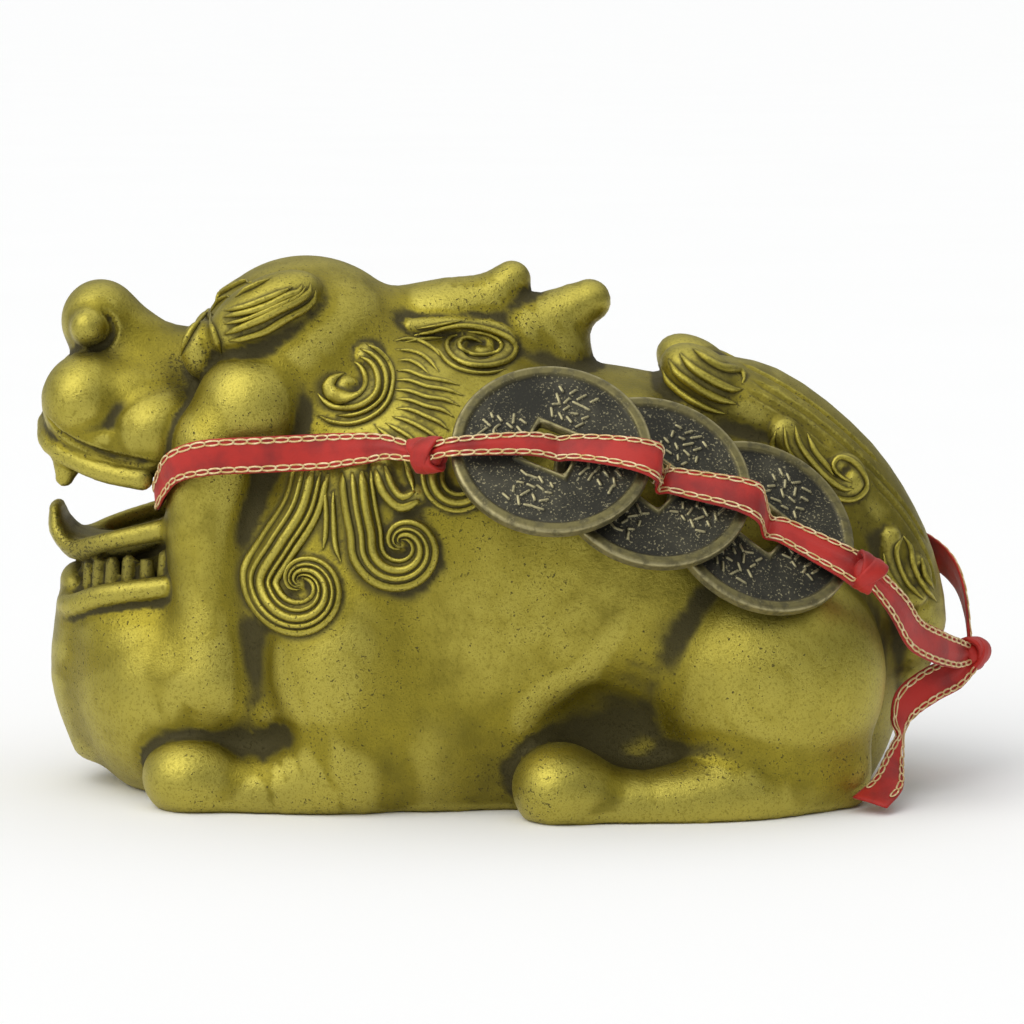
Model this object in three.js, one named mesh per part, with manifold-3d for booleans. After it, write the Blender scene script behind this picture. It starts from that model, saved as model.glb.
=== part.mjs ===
// A lying pixiu cast in brass, with its mouth open and three old coins on a red ribbon.
// Millimetres. +X runs from the nose to the tail, -Y is the side with the coins, +Z is up,
// and the origin is on the ground under the middle of the figure.

import * as THREE from "three";
import { triTable } from "three/addons/objects/MarchingCubes.js";
import { mergeVertices } from "three/addons/utils/BufferGeometryUtils.js";
import Module from "manifold-3d";

const wasm = await Module();
wasm.setup();

// The figure. Its forms are laid out in parts of its own length, inside their box.
const figureLength = 109;
const partsInLength = 109;
const part = figureLength / partsInLength;
const figureTriangles = 7000;
const sampleSpacing = 1.1;
const formBox = [[-59, -36, 0], [59, 36, 69]];

// Points are brought onto a surface by steps of this share of the distance left, until they are this close.
const stepShare = 0.6;
const closeEnough = 0.01;
const mostSteps = 500;

// The coins
const coinDiameter = 23;
const coinThickness = 1.5;
const coinFieldDepth = 0.25;
const coinRimWidth = 1.9;
const coinHoleSide = 5.6;
const coinHoleRimWidth = 0.7;
const coinSides = 32;
const coinRings = [0.4, 0.7, 1];

// The ribbon passes through the coins' holes.
const holePlay = 0.7;
const holeShift = 0.8;
const holeDip = 0.2;
const holeShare = 0.7;
const rimReach = 0.6;
const ribbonWidth = coinHoleSide - 2 * holePlay;
const ribbonThickness = 0.5;
const ribbonStep = 2.5;
const restAcross = [-0.5, -0.25, 0, 0.25, 0.5];
const restAlong = [-0.5, 0, 0.5];
const tautRounds = 300;
const knotSides = 8;
const knotRings = 6;

// Pieces that touch keep this gap.
const gap = 0.4;

// Forms of the figure, in parts of its length: [along, out from the middle plane, up].
// Each is an ellipsoid or a tapered limb, added to the ones before it or cut out of them.
// Blend is the width over which it runs into them.
const forms = [
  { name: "trunk", at: [3, 0, 22.5], radii: [46, 25.5, 28.6], blend: 0 },
  { name: "belly", at: [0, 0, 9], radii: [46, 22, 21], blend: 6 },
  { name: "rump", at: [31, 0, 17], radii: [16.5, 18.5, 26], blend: 6 },
  { name: "back", at: [6, 12, 35], radii: [17, 11.5, 11], blend: 6 },
  { name: "neck", at: [-10, 0, 37], radii: [20, 22.5, 18], blend: 6 },
  { name: "chest", at: [-36, 0, 13], radii: [16.3, 19.5, 16], blend: 3 },
  { name: "shoulder", at: [-18.5, 14, 15.5], radii: [9.6, 12.2, 15], blend: 6 },
  { name: "elbow", at: [-9, 14, 9], radii: [8, 10, 12], blend: 5 },
  {
    name: "column",
    along: [[-33, 12.5, 42], [-33.8, 13, 32], [-33.4, 14, 24], [-33.4, 15.4, 15]],
    radii: [5.6, 5.5, 5.2, 5.6],
    blend: 2.5,
  },
  {
    name: "shoulderFold",
    along: [[-28.6, 21.5, 21], [-28.8, 22, 15], [-27.6, 23.5, 10], [-26.4, 23, 7.6]],
    radii: [0.4, 0.8, 1.5, 2.2],
    blend: 3.6,
    cut: true,
  },
  {
    name: "pawFold",
    along: [[-36.5, 21.6, 11], [-32, 22.6, 9.4], [-27, 22, 7.4]],
    radii: [0.4, 0.9, 1.8],
    blend: 3,
    cut: true,
  },
  { name: "skull", at: [-23.2, 0, 50], radii: [13.6, 15, 13.5], blend: 4 },
  { name: "jowl", at: [-29, 11.2, 45.8], radii: [7, 7.2, 7.2], blend: 1.5 },
  { name: "maneCushion", at: [-23, 12, 28], radii: [6.5, 8, 10], blend: 3 },
  { name: "upperJaw", at: [-44, 0, 46.5], radii: [11, 11, 6.5], blend: 3 },
  { name: "palate", at: [-45.3, 0, 42.6], radii: [9.4, 11.9, 4.6], blend: 1.5 },
  {
    name: "bridge",
    along: [[-47.6, 0, 55.4], [-42.3, 0, 51.6], [-36.5, 0, 49]],
    radii: [4.6, 4.6, 5.4],
    flat: 1.15,
    blend: 2.5,
  },
  { name: "nose", at: [-47.9, 0, 56.1], radii: [4.2, 5.6, 4.4], blend: 1.5 },
  { name: "nostril", at: [-48.8, 5, 55.3], radii: [2.2, 2.6, 2.3], blend: 0.8 },
  { name: "flew", at: [-48.9, 5.6, 46.6], radii: [5.5, 6.4, 5.8], blend: 1 },
  { name: "cheek", at: [-40.3, 8.4, 43.2], radii: [5.9, 5.8, 5.4], blend: 0.8 },
  {
    name: "lipBed",
    along: [[-53, 0, 44.6], [-51.9, 5.4, 42.9], [-46.6, 9.2, 40.7], [-41.4, 10.8, 40]],
    radii: [1.6, 1.7, 1.8, 1.8],
    blend: 0.8,
  },
  {
    name: "upperLip",
    along: [[-54.3, 0, 43.4], [-53.2, 6, 41.5], [-47.2, 10.6, 38.9], [-42, 12.6, 38]],
    radii: [1.3, 1.3, 1.3, 1.3],
    blend: 0.6,
  },
  { name: "eye", at: [-35.2, 8.8, 53], radii: [2.4, 2.6, 3.4], blend: 0.8 },
  { name: "brow", at: [-27.6, 10.2, 57.4], radii: [7.4, 5, 4], lean: 30, blend: 1.2 },
  { name: "lowerJaw", at: [-41.5, 0, 20], radii: [11.3, 13.6, 7.3], blend: 3 },
  { name: "chin", along: [[-50.9, 0, 24.5], [-50.9, 0, 17]], radii: [2.1, 2.4], flat: 2.6, blend: 1.2 },
  {
    name: "lowerLip",
    along: [[-51.9, 0, 21.8], [-50.9, 7, 22.2], [-46.5, 11.6, 24.1], [-39, 14.2, 25.4]],
    radii: [1.5, 1.4, 1.4, 1.4],
    blend: 0.6,
  },
  {
    name: "breastBand",
    along: [[-50.6, 0, 19], [-51.6, 0, 13], [-49.6, 0, 5]],
    radii: [2.2, 2.6, 2.2],
    flat: 2.2,
    blend: 2.6,
  },
  { name: "breastBoss", at: [-50.9, 5, 15.4], radii: [1.7, 2, 2.7], blend: 0.4 },
  { name: "paw", at: [-36.4, 17.4, 3.6], radii: [5.5, 6.2, 4.9], blend: 0.8 },
  {
    name: "foreLeg",
    along: [[-34, 18, 2.3], [-26, 19.4, 2.2], [-18, 19, 5]],
    radii: [4.3, 4.1, 6.6],
    blend: 3,
  },
  {
    name: "flankFold",
    along: [[19.5, 26.5, 26], [17, 27, 19], [14.5, 26.5, 12.5]],
    radii: [0.8, 2, 4.6],
    blend: 3.4,
    cut: true,
  },
  { name: "flank", at: [13.5, 26, 9.6], radii: [9, 6, 5.2], blend: 3, cut: true },
  { name: "haunch", at: [31, 15.4, 15.3], radii: [14.3, 12.8, 14.8], blend: 1.6 },
  { name: "hindPaw", at: [6.8, 24.8, 3.8], radii: [5.3, 6.4, 4.9], blend: 0.8 },
  {
    name: "hindLeg",
    along: [[8, 24.8, 2.4], [17, 25, 1.4], [28, 22.4, 2.4], [38, 16, 3.6]],
    radii: [4.3, 4.1, 5.4, 5.7],
    blend: 3.2,
  },
  {
    name: "hornBlade",
    along: [[-15, 0, 55], [-6, 0, 56.6], [-1, 0, 58.2], [1.4, 0, 60.6]],
    radii: [4.4, 4.3, 3.4, 2.3],
    flat: 1.25,
    blend: 1.6,
  },
  {
    name: "hornStem",
    along: [[-8, 0, 55.2], [3, 0, 54.6], [10.7, 0, 58.1]],
    radii: [4.2, 4.3, 2.6],
    flat: 1.25,
    blend: 1.6,
  },
  { name: "hornRoot", along: [[-6, 0, 52], [7, 0, 52]], radii: [4, 4], flat: 1.4, blend: 2 },
  {
    name: "tail",
    along: [[24, 0, 46.4], [31, 0, 44.9], [40.6, 0, 37.2], [46.2, 0, 28.6], [49, 0, 20], [48.4, 0, 15]],
    radii: [5.4, 5.5, 5.6, 5.4, 4.8, 3.6],
    flat: 2.1,
    blend: 1.5,
  },
  { name: "tailShell", at: [24, 6.8, 49.3], radii: [5.6, 5.2, 3.5], lean: -35, blend: 0.8 },
  { name: "mouth", at: [-45.5, 0, 33.8], radii: [13, 10.8, 4.6], blend: 1, cut: true },
  {
    name: "tongue",
    along: [[-53.3, 0, 33.2], [-52.8, 0, 31], [-50.8, 0, 29], [-46, 0, 28.6], [-38, 0, 31]],
    radii: [0.9, 1.4, 1.7, 1.7, 1.6],
    flat: 4.6,
    blend: 0.6,
  },
  {
    name: "tongueHollow",
    along: [[-51.8, 0, 34.2], [-50.4, 0, 32], [-46, 0, 31], [-38, 0, 32.6]],
    radii: [0.8, 1.2, 1.4, 1.4],
    flat: 4.6,
    blend: 0.6,
    cut: true,
  },
  {
    name: "gum",
    along: [[-51.2, 0, 28.8], [-50.4, 6, 29], [-46.8, 9.8, 30.2], [-39, 12.8, 32.2]],
    radii: [1, 1, 1.1, 1.3],
    blend: 0.8,
  },
  { name: "fang", along: [[-51, 6.8, 40.4], [-51.7, 6.8, 37.6]], radii: [2.4, 1.1], blend: 0.4 },
];

// Teeth stand along the lower lip, behind its rim.
const teeth = {
  count: 8,
  radius: 1,
  tipRadius: 0.8,
  height: 2.4,
  rootUp: 23.8,
  lipRise: 2.6,
  inset: 1.2,
  blend: 0.3,
};
const lipRow = [[-50.8, 1.4], [-50, 6], [-46.6, 9.8], [-40.6, 12.2]];

// Locks of hair, laid on the figure's sides. The stem is a path in the side view, and the lock then rolls
// up around its eye: reach is how far out the roll starts, and turns are counted as seen from the -Y side.
const locks = [
  { name: "ear", stem: [], eye: [-17.2, 49.6], reach: [3.5, 3.5], from: 60, turns: -0.81, width: 1.8 },
  {
    name: "maneUpper",
    stem: [[-10.5, 55.4], [-6, 55.6]],
    eye: [-2.4, 53.1],
    reach: [3.9, 2.3],
    from: 100,
    turns: -1.7,
    width: 1.15,
  },
  {
    name: "maneFront",
    stem: [[-21.8, 40], [-23, 35.6], [-25.6, 31.4]],
    eye: [-23, 27],
    reach: [4.9, 4.5],
    from: 175,
    turns: 1.1,
    width: 2.6,
  },
  {
    name: "maneRear",
    stem: [[-16.7, 40], [-16.2, 36], [-15.6, 33]],
    eye: [-11.3, 31.8],
    reach: [4.2, 4.1],
    from: 195,
    turns: 1.05,
    width: 2.3,
  },
  { name: "maneMiddle", stem: [[-13.8, 40.5], [-12.8, 38], [-11.2, 36.6], [-9.4, 37.4]], width: 1.2 },
  {
    name: "maneUnderCoin",
    stem: [[-7.6, 41.5]],
    eye: [-4.2, 39.4],
    reach: [3.5, 3.3],
    from: 180,
    turns: 0.9,
    width: 1.4,
  },
  {
    name: "tailMiddle",
    stem: [[33.4, 43.4], [35.2, 41], [37.6, 38.6]],
    eye: [40.1, 38.9],
    reach: [2.4, 2.2],
    from: 235,
    turns: 0.9,
    width: 1.9,
  },
  {
    name: "tailLower",
    stem: [[46.2, 31], [45.9, 28]],
    eye: [48.9, 26.6],
    reach: [2.5, 3.6],
    from: 195,
    turns: 1,
    width: 1.25,
  },
];
const lockRise = 1.1;
const lockRiseShare = 0.8;
const lockTaper = 0.72;
const lockBlend = 0.4;
const rollPower = 1.3;
const stepsPerTurn = 14;

// The coins lie on the side like shingles: place in the side view, the way each one faces and the way that
// its hole's sides run, in degrees from level. The rear one lies lowest.
const coins = [
  { name: "coin_front", at: [5.8, 40], facing: [0.04, -0.76, 0.65], turn: -25 },
  { name: "coin_middle", at: [17, 36.9], facing: [0.16, -0.76, 0.63], turn: -38 },
  { name: "coin_rear", at: [29.1, 31.6], facing: [0.32, -0.72, 0.61], turn: -34 },
];

// Smooth minimum: two forms run into each other over the width of the blend
function blendMin(a, b, blend) {
  const near = Math.max(blend - Math.abs(a - b), 0);
  return Math.min(a, b) - (blend > 0 ? (near * near) / (4 * blend) : 0);
}

const lengthOf = (x, y, z) => Math.sqrt(x * x + y * y + z * z);

// Distance to an ellipsoid, close to true near its surface
function ballDistance({ at, radii, leanCos, leanSin }, x, y, z) {
  const dx = x - at[0];
  const dz = z - at[2];
  const u = (dx * leanCos + dz * leanSin) / radii[0];
  const v = (y - at[1]) / radii[1];
  const w = (dz * leanCos - dx * leanSin) / radii[2];
  const scaled = lengthOf(u, v, w);
  const slope = lengthOf(u / radii[0], v / radii[1], w / radii[2]);
  return slope > 0 ? (scaled * (scaled - 1)) / slope : -Math.min(...radii);
}

// Distance to a chain of tapered round segments, widened sideways by flat
function limbDistance(form, x, y, z) {
  const flat = form.flat ?? 1;
  let distance = Infinity;
  for (const { start, step, lengthSquared, radius, growth } of form.segments) {
    const px = x - start.x;
    const py = y / flat - start.y;
    const pz = z - start.z;
    const share = Math.min(Math.max((px * step.x + py * step.y + pz * step.z) / lengthSquared, 0), 1);
    const away = lengthOf(px - share * step.x, py - share * step.y, pz - share * step.z);
    distance = Math.min(distance, away - radius - share * growth);
  }
  return distance;
}

// Cuts a limb's smooth path into segments, this many from one of its points to the next
const limbSteps = 4;
const lockSteps = 2;
function withSegments(form, stepsPerPoint) {
  const flat = form.flat ?? 1;
  const path = new THREE.CatmullRomCurve3(form.along.map(([x, y, z]) => new THREE.Vector3(x, y / flat, z)));
  const count = form.along.length > 2 ? (form.along.length - 1) * stepsPerPoint : 1;
  const points = path.getPoints(count);
  const radiusAt = (i) => {
    const place = (i / count) * (form.radii.length - 1);
    const before = Math.min(Math.floor(place), form.radii.length - 2);
    return THREE.MathUtils.lerp(form.radii[before], form.radii[before + 1], place - before);
  };
  const segments = points.slice(1).map((end, i) => {
    const step = end.clone().sub(points[i]);
    const radius = radiusAt(i);
    const growth = radiusAt(i + 1) - radius;
    return { start: points[i], step, lengthSquared: step.lengthSq(), radius, growth };
  });
  return { ...form, segments };
}

// A ball around each form, so that far forms can be passed over
function withReach(form) {
  if (form.at) {
    const lean = THREE.MathUtils.degToRad(form.lean ?? 0);
    const turned = { leanCos: Math.cos(lean), leanSin: Math.sin(lean) };
    return { ...form, ...turned, middle: new THREE.Vector3(...form.at), reach: Math.max(...form.radii) };
  }
  const flat = form.flat ?? 1;
  const limb = form.segments ? form : withSegments(form, limbSteps);
  const ends = limb.segments.flatMap(({ start, step }) => [start, start.clone().add(step)]);
  const box = new THREE.Box3().setFromPoints(ends);
  const middle = box.getCenter(new THREE.Vector3());
  const reach = Math.max(...ends.map((end) => end.distanceTo(middle))) * flat + Math.max(...form.radii) * flat;
  middle.y *= flat;
  return { ...limb, middle, reach };
}

function formDistance(form, x, y, z) {
  return form.segments ? limbDistance(form, x, y, z) : ballDistance(form, x, y, z);
}

// Adds the listed forms to a distance or cuts them out, passing over those that can't change it
function addForms(list, distance, x, y, z) {
  let result = distance;
  for (const form of list) {
    const { middle, reach, blend } = form;
    const sign = form.cut ? -1 : 1;
    if (lengthOf(x - middle.x, y - middle.y, z - middle.z) - reach < sign * result + blend) {
      result = sign * blendMin(sign * result, formDistance(form, x, y, z), blend);
    }
  }
  return result;
}

const bodyForms = forms.map(withReach);
const toothForms = makeTeeth().map(withReach);

// Distance to the figure without its locks, in parts, negative inside
function bareDistance(x, y, z) {
  const out = Math.abs(y);
  const distance = addForms(bodyForms, Infinity, x, out, z);
  return Math.max(addForms(toothForms, distance, x, out, z), -z);
}

// The teeth stand side by side along the curve of the lower lip
function makeTeeth() {
  const row = new THREE.CatmullRomCurve3(lipRow.map(([x, out]) => new THREE.Vector3(x + teeth.inset, out, 0)));
  return row.getSpacedPoints(teeth.count - 1).map((foot, i) => {
    const up = teeth.rootUp + (teeth.lipRise * i) / (teeth.count - 1);
    const radii = [teeth.radius, teeth.tipRadius];
    return { along: [[foot.x, foot.y, up], [foot.x, foot.y, up + teeth.height]], radii, blend: teeth.blend };
  });
}

// How fast a distance grows along each axis at a point
const slopeStep = 0.05;
function slopeAt(distance, { x, y, z }) {
  return new THREE.Vector3(
    distance(x + slopeStep, y, z) - distance(x - slopeStep, y, z),
    distance(x, y + slopeStep, z) - distance(x, y - slopeStep, z),
    distance(x, y, z + slopeStep) - distance(x, y, z - slopeStep),
  ).divideScalar(2 * slopeStep);
}

// The point of the bare figure's side at a place in the side view, coming from outside
function onSide([x, z]) {
  let out = formBox[1][1];
  let distance = bareDistance(x, out, z);
  while (distance > closeEnough && out > 0) {
    out -= distance * stepShare;
    distance = bareDistance(x, out, z);
  }
  return new THREE.Vector3(x, Math.max(out, 0), z);
}

// Places of a lock's middle line in the side view, with its half width at each: first the stem, then the roll
function lockLine(lock) {
  const line = lock.stem.map(([x, z]) => ({ x, z, width: lock.width }));
  if (lock.eye) {
    const steps = Math.ceil(Math.abs(lock.turns) * stepsPerTurn);
    for (let i = 0; i <= steps; i += 1) {
      const share = i / steps;
      const angle = THREE.MathUtils.degToRad(lock.from + share * lock.turns * 360);
      const shrink = 1 - share ** rollPower;
      line.push({
        x: lock.eye[0] + lock.reach[0] * shrink * Math.cos(angle),
        z: lock.eye[1] + lock.reach[1] * shrink * Math.sin(angle),
        width: lock.width * (1 - lockTaper * share),
      });
    }
  }
  return line;
}

// A lock lies on the side, sunk so that it stands proud by its rise
function makeLock(lock) {
  const line = lockLine(lock);
  const along = line.map(({ x, z, width }) => {
    const foot = onSide([x, z]);
    const sink = width - Math.min(lockRise, width * lockRiseShare);
    return foot.addScaledVector(slopeAt(bareDistance, foot).normalize(), -sink).toArray();
  });
  return { name: lock.name, along, radii: line.map(({ width }) => width), blend: lockBlend };
}

const lockForms = locks.map(makeLock).map((lock) => withReach(withSegments(lock, lockSteps)));

// Distance to the whole figure in millimetres
function figureDistance(x, y, z) {
  const [px, py, pz] = [x / part, y / part, z / part];
  return Math.max(addForms(lockForms, bareDistance(px, py, pz), px, Math.abs(py), pz), -pz) * part;
}

// Corners and edges of a sampling cell, in the order that the marching cubes table uses
const cellCorners = [[0, 0, 0], [1, 0, 0], [1, 1, 0], [0, 1, 0], [0, 0, 1], [1, 0, 1], [1, 1, 1], [0, 1, 1]];
const cellEdges = [
  [0, 1], [1, 2], [3, 2], [0, 3],
  [4, 5], [5, 6], [7, 6], [4, 7],
  [0, 4], [1, 5], [2, 6], [3, 7],
];

// A point keeps at least this share of its edge from the edge's ends, and no distance is left at nought.
const leastShare = 0.02;
const leastDistance = 1e-6;

// Surface where a distance is zero, as triangles between the sides of sampling cells
function contour(distance, box, spacing) {
  const size = box.getSize(new THREE.Vector3());
  const counts = size.toArray().map((side) => Math.ceil(side / spacing) + 1);
  const strides = [1, counts[0], counts[0] * counts[1]];
  const values = new Float64Array(counts[0] * counts[1] * counts[2]);
  const place = (i, j, k) => [box.min.x + i * spacing, box.min.y + j * spacing, box.min.z + k * spacing];
  const eachNode = (ends, visit) => {
    for (let k = 0; k < ends[2]; k += 1) {
      for (let j = 0; j < ends[1]; j += 1) {
        for (let i = 0; i < ends[0]; i += 1) {
          visit(i, j, k, i + j * strides[1] + k * strides[2]);
        }
      }
    }
  };
  eachNode(counts, (i, j, k, node) => {
    values[node] = distance(...place(i, j, k)) || leastDistance;
  });

  const points = [];
  const triangles = [];
  const pointOnEdge = new Map();
  const crossing = (node, i, j, k, [from, to]) => {
    const a = cellCorners[from];
    const b = cellCorners[to];
    const nodeA = node + a[0] + a[1] * strides[1] + a[2] * strides[2];
    const nodeB = node + b[0] + b[1] * strides[1] + b[2] * strides[2];
    const key = nodeA * 3 + [0, 1, 2].find((axis) => a[axis] !== b[axis]);
    if (!pointOnEdge.has(key)) {
      const exact = values[nodeA] / (values[nodeA] - values[nodeB]);
      const share = THREE.MathUtils.clamp(exact, leastShare, 1 - leastShare);
      const start = place(i + a[0], j + a[1], k + a[2]);
      const end = place(i + b[0], j + b[1], k + b[2]);
      pointOnEdge.set(key, points.length);
      points.push(start.map((value, axis) => value + share * (end[axis] - value)));
    }
    return pointOnEdge.get(key);
  };
  eachNode(counts.map((count) => count - 1), (i, j, k, node) => {
    const inside = cellCorners.map(([a, b, c]) => values[node + a + b * strides[1] + c * strides[2]] < 0);
    const kind = inside.reduce((sum, isInside, corner) => sum + (isInside ? 2 ** corner : 0), 0);
    if (kind > 0 && kind < 255) {
      for (let n = kind * 16; triTable[n] >= 0; n += 3) {
        const corners = [0, 1, 2].map((step) => crossing(node, i, j, k, cellEdges[triTable[n + step]]));
        triangles.push([corners[0], corners[2], corners[1]]);
      }
    }
  });
  return { points, triangles };
}

// Evens out the triangles: each point moves to the middle of its neighbours and then back onto the surface
const evenRounds = 4;
const leastSlope = 0.25;
function evenOut({ points, triangles }, distance) {
  const places = points.map((point) => new THREE.Vector3(...point));
  const neighbours = places.map(() => new Set());
  for (const [a, b, c] of triangles) {
    neighbours[a].add(b).add(c);
    neighbours[b].add(c).add(a);
    neighbours[c].add(a).add(b);
  }
  for (let round = 0; round < evenRounds; round += 1) {
    const middles = neighbours.map((others) => {
      const middle = new THREE.Vector3();
      others.forEach((other) => middle.add(places[other]));
      return middle.divideScalar(others.size);
    });
    places.forEach((place, p) => {
      place.copy(middles[p]);
      const slope = slopeAt(distance, place);
      place.addScaledVector(slope, -distance(...place) / Math.max(slope.lengthSq(), leastSlope));
      place.addScaledVector(slope, -distance(...place) / Math.max(slope.lengthSq(), leastSlope));
    });
  }
  return { places, triangles };
}

// A joined pair may turn no triangle by more than this cosine. Twice a triangle's area, as a share of its
// longest side squared, is its shape: it stays above this value or gets no worse.
const leastTurn = 0.25;
const leastShape = 0.25;

// A pair that can't be joined yet waits until its error has doubled, up to this one.
const mostError = 2;

// Long pairs count as worse by this much for their length squared. Where the surface is flatter than this
// determinant, there is no one place of least error.
const lengthError = 2e-4;
const leastDeterminant = 1e-4;

// Sum of squared distances to the planes of a point's triangles, as the ten numbers of a symmetric form
function planeForm(a, b, c) {
  const normal = new THREE.Vector3().crossVectors(b.clone().sub(a), c.clone().sub(a));
  const area = normal.length() / 2;
  normal.normalize();
  const p = [normal.x, normal.y, normal.z, -normal.dot(a)];
  const result = [];
  for (let row = 0; row < 4; row += 1) {
    for (let column = row; column < 4; column += 1) {
      result.push(area * p[row] * p[column]);
    }
  }
  return result;
}

function formError(q, { x, y, z }) {
  const squares = q[0] * x * x + q[4] * y * y + q[7] * z * z + q[9];
  return squares + 2 * (q[1] * x * y + q[2] * x * z + q[3] * x + q[5] * y * z + q[6] * y + q[8] * z);
}

// The place with the least error for a joined pair of points, on the line between them or at the true least
function bestPlace(q, a, b) {
  const matrix = new THREE.Matrix3().set(q[0], q[1], q[2], q[1], q[4], q[5], q[2], q[5], q[7]);
  const choices = [a.clone().lerp(b, 0.5), a, b];
  const least = new THREE.Vector3(-q[3], -q[6], -q[8]);
  if (Math.abs(matrix.determinant()) > leastDeterminant) {
    least.applyMatrix3(matrix.invert());
    if (least.distanceTo(choices[0]) < a.distanceTo(b)) {
      choices.push(least);
    }
  }
  const errors = choices.map((choice) => Math.max(formError(q, choice), 0));
  const chosen = errors.indexOf(Math.min(...errors));
  return { place: choices[chosen], error: errors[chosen] + lengthError * a.distanceToSquared(b) };
}

// A list that gives back its item of least error first
class Queue {
  items = [];

  add(item) {
    const { items } = this;
    let n = items.length;
    items.push(item);
    while (n > 0 && items[(n - 1) >> 1].error > item.error) {
      items[n] = items[(n - 1) >> 1];
      n = (n - 1) >> 1;
    }
    items[n] = item;
  }

  take() {
    const { items } = this;
    const least = items[0];
    const last = items.pop();
    if (items.length > 0) {
      let n = 0;
      for (let next = 1; next < items.length; next = 2 * n + 1) {
        if (next + 1 < items.length && items[next + 1].error < items[next].error) {
          next += 1;
        }
        if (items[next].error >= last.error) {
          break;
        }
        items[n] = items[next];
        n = next;
      }
      items[n] = last;
    }
    return least;
  }
}

// Joins pairs of neighbouring points, the least change first, until few enough triangles are left
function thinOut({ places, triangles }, target) {
  const faces = triangles.map((triangle) => [...triangle]);
  const facesAt = places.map(() => new Set());
  const errors = places.map(() => new Array(10).fill(0));
  const moves = places.map(() => 0);
  faces.forEach((face, f) => {
    const plane = planeForm(...face.map((p) => places[p]));
    for (const p of face) {
      facesAt[p].add(f);
      plane.forEach((value, n) => {
        errors[p][n] += value;
      });
    }
  });

  const neighbours = (p) => {
    const found = new Set();
    for (const f of facesAt[p]) {
      faces[f].forEach((other) => found.add(other));
    }
    found.delete(p);
    return found;
  };
  const facing = ([a, b, c]) => b.clone().sub(a).cross(c.clone().sub(a));
  const shape = ([a, b, c]) => {
    const longest = Math.max(a.distanceToSquared(b), b.distanceToSquared(c), c.distanceToSquared(a));
    return facing([a, b, c]).length() / longest;
  };
  const staysSound = (p, gone, place) =>
    [...facesAt[p]].every((f) => {
      if (faces[f].includes(gone)) {
        return true;
      }
      const old = faces[f].map((corner) => places[corner]);
      const moved = faces[f].map((corner) => (corner === p ? place : places[corner]));
      const [before, after] = [facing(old), facing(moved)];
      const turn = before.dot(after) / (before.length() * after.length());
      return turn > leastTurn && shape(moved) > Math.min(leastShape, shape(old));
    });

  const queue = new Queue();
  const offer = (p, other) => {
    const q = errors[p].map((value, n) => value + errors[other][n]);
    queue.add({ p, other, moved: moves[p] + moves[other], ...bestPlace(q, places[p], places[other]) });
  };
  places.forEach((_, p) => neighbours(p).forEach((other) => other > p && offer(p, other)));

  let left = faces.length;
  while (left > target && queue.items.length > 0) {
    const pair = queue.take();
    const { p, other, moved, place } = pair;
    if (facesAt[p].size === 0 || facesAt[other].size === 0 || moved !== moves[p] + moves[other]) {
      continue;
    }
    const around = neighbours(other);
    const shared = [...neighbours(p)].filter((n) => around.has(n));
    if (shared.length !== 2 || !staysSound(p, other, place) || !staysSound(other, p, place)) {
      if (pair.error < mostError) {
        queue.add({ ...pair, error: pair.error * 2 });
      }
      continue;
    }
    for (const f of facesAt[other]) {
      if (faces[f].includes(p)) {
        faces[f].forEach((corner) => corner !== other && facesAt[corner].delete(f));
        faces[f] = null;
        left -= 1;
      } else {
        faces[f] = faces[f].map((corner) => (corner === other ? p : corner));
        facesAt[p].add(f);
      }
    }
    facesAt[other].clear();
    errors[p] = errors[p].map((value, n) => value + errors[other][n]);
    places[p] = place.clone();
    moves[p] += moves[other] + 1;
    neighbours(p).forEach((n) => offer(p, n));
  }
  return { places, faces: faces.filter((face) => face) };
}

// Geometry from points and triangles that use them, without the points that none uses
function indexedGeometry(places, faces) {
  const numbers = new Map();
  const index = faces.flat().map((p) => {
    if (!numbers.has(p)) {
      numbers.set(p, numbers.size);
    }
    return numbers.get(p);
  });
  const geometry = new THREE.BufferGeometry();
  const positions = [...numbers.keys()].flatMap((p) => places[p].toArray());
  geometry.setAttribute("position", new THREE.Float32BufferAttribute(positions, 3));
  geometry.setIndex(index);
  return geometry;
}

// The figure is sampled in the box around its forms. Its cells stand half in the ground, so that the underside
// comes out flat, and the points nearest the ground are set down on it.
const cellsBelowGround = 1.5;
const groundReach = 0.1;
function makeFigure() {
  const [low, high] = formBox.map((corner) => new THREE.Vector3(...corner).multiplyScalar(part));
  low.z = -cellsBelowGround * sampleSpacing;
  const fine = contour(figureDistance, new THREE.Box3(low, high), sampleSpacing);
  const { places, faces } = thinOut(evenOut(fine, figureDistance), figureTriangles);
  for (const place of places) {
    place.z = place.z < groundReach ? 0 : place.z;
  }
  return indexedGeometry(places, faces);
}

// A closed solid for joining and cutting, its points merged where they meet
const mergeReach = 1e-4;
function toSolid(geometry) {
  const bare = geometry.clone();
  bare.deleteAttribute("normal");
  bare.deleteAttribute("uv");
  const merged = mergeVertices(bare, mergeReach);
  const vertProperties = new Float32Array(merged.getAttribute("position").array);
  const triVerts = new Uint32Array(merged.getIndex().array);
  return new wasm.Manifold(new wasm.Mesh({ numProp: 3, vertProperties, triVerts }));
}

function toGeometry(solid) {
  const { vertProperties, triVerts } = solid.getMesh();
  const geometry = new THREE.BufferGeometry();
  geometry.setAttribute("position", new THREE.BufferAttribute(vertProperties, 3));
  geometry.setIndex(new THREE.BufferAttribute(triVerts, 1));
  geometry.computeVertexNormals();
  return geometry;
}

// A regular or square outline, as points in order
function ringOutline(radius, sides, turn = 0) {
  return Array.from({ length: sides }, (_, i) => {
    const angle = (2 * Math.PI * i) / sides + turn;
    return new THREE.Vector2(radius * Math.cos(angle), radius * Math.sin(angle));
  });
}

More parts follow.
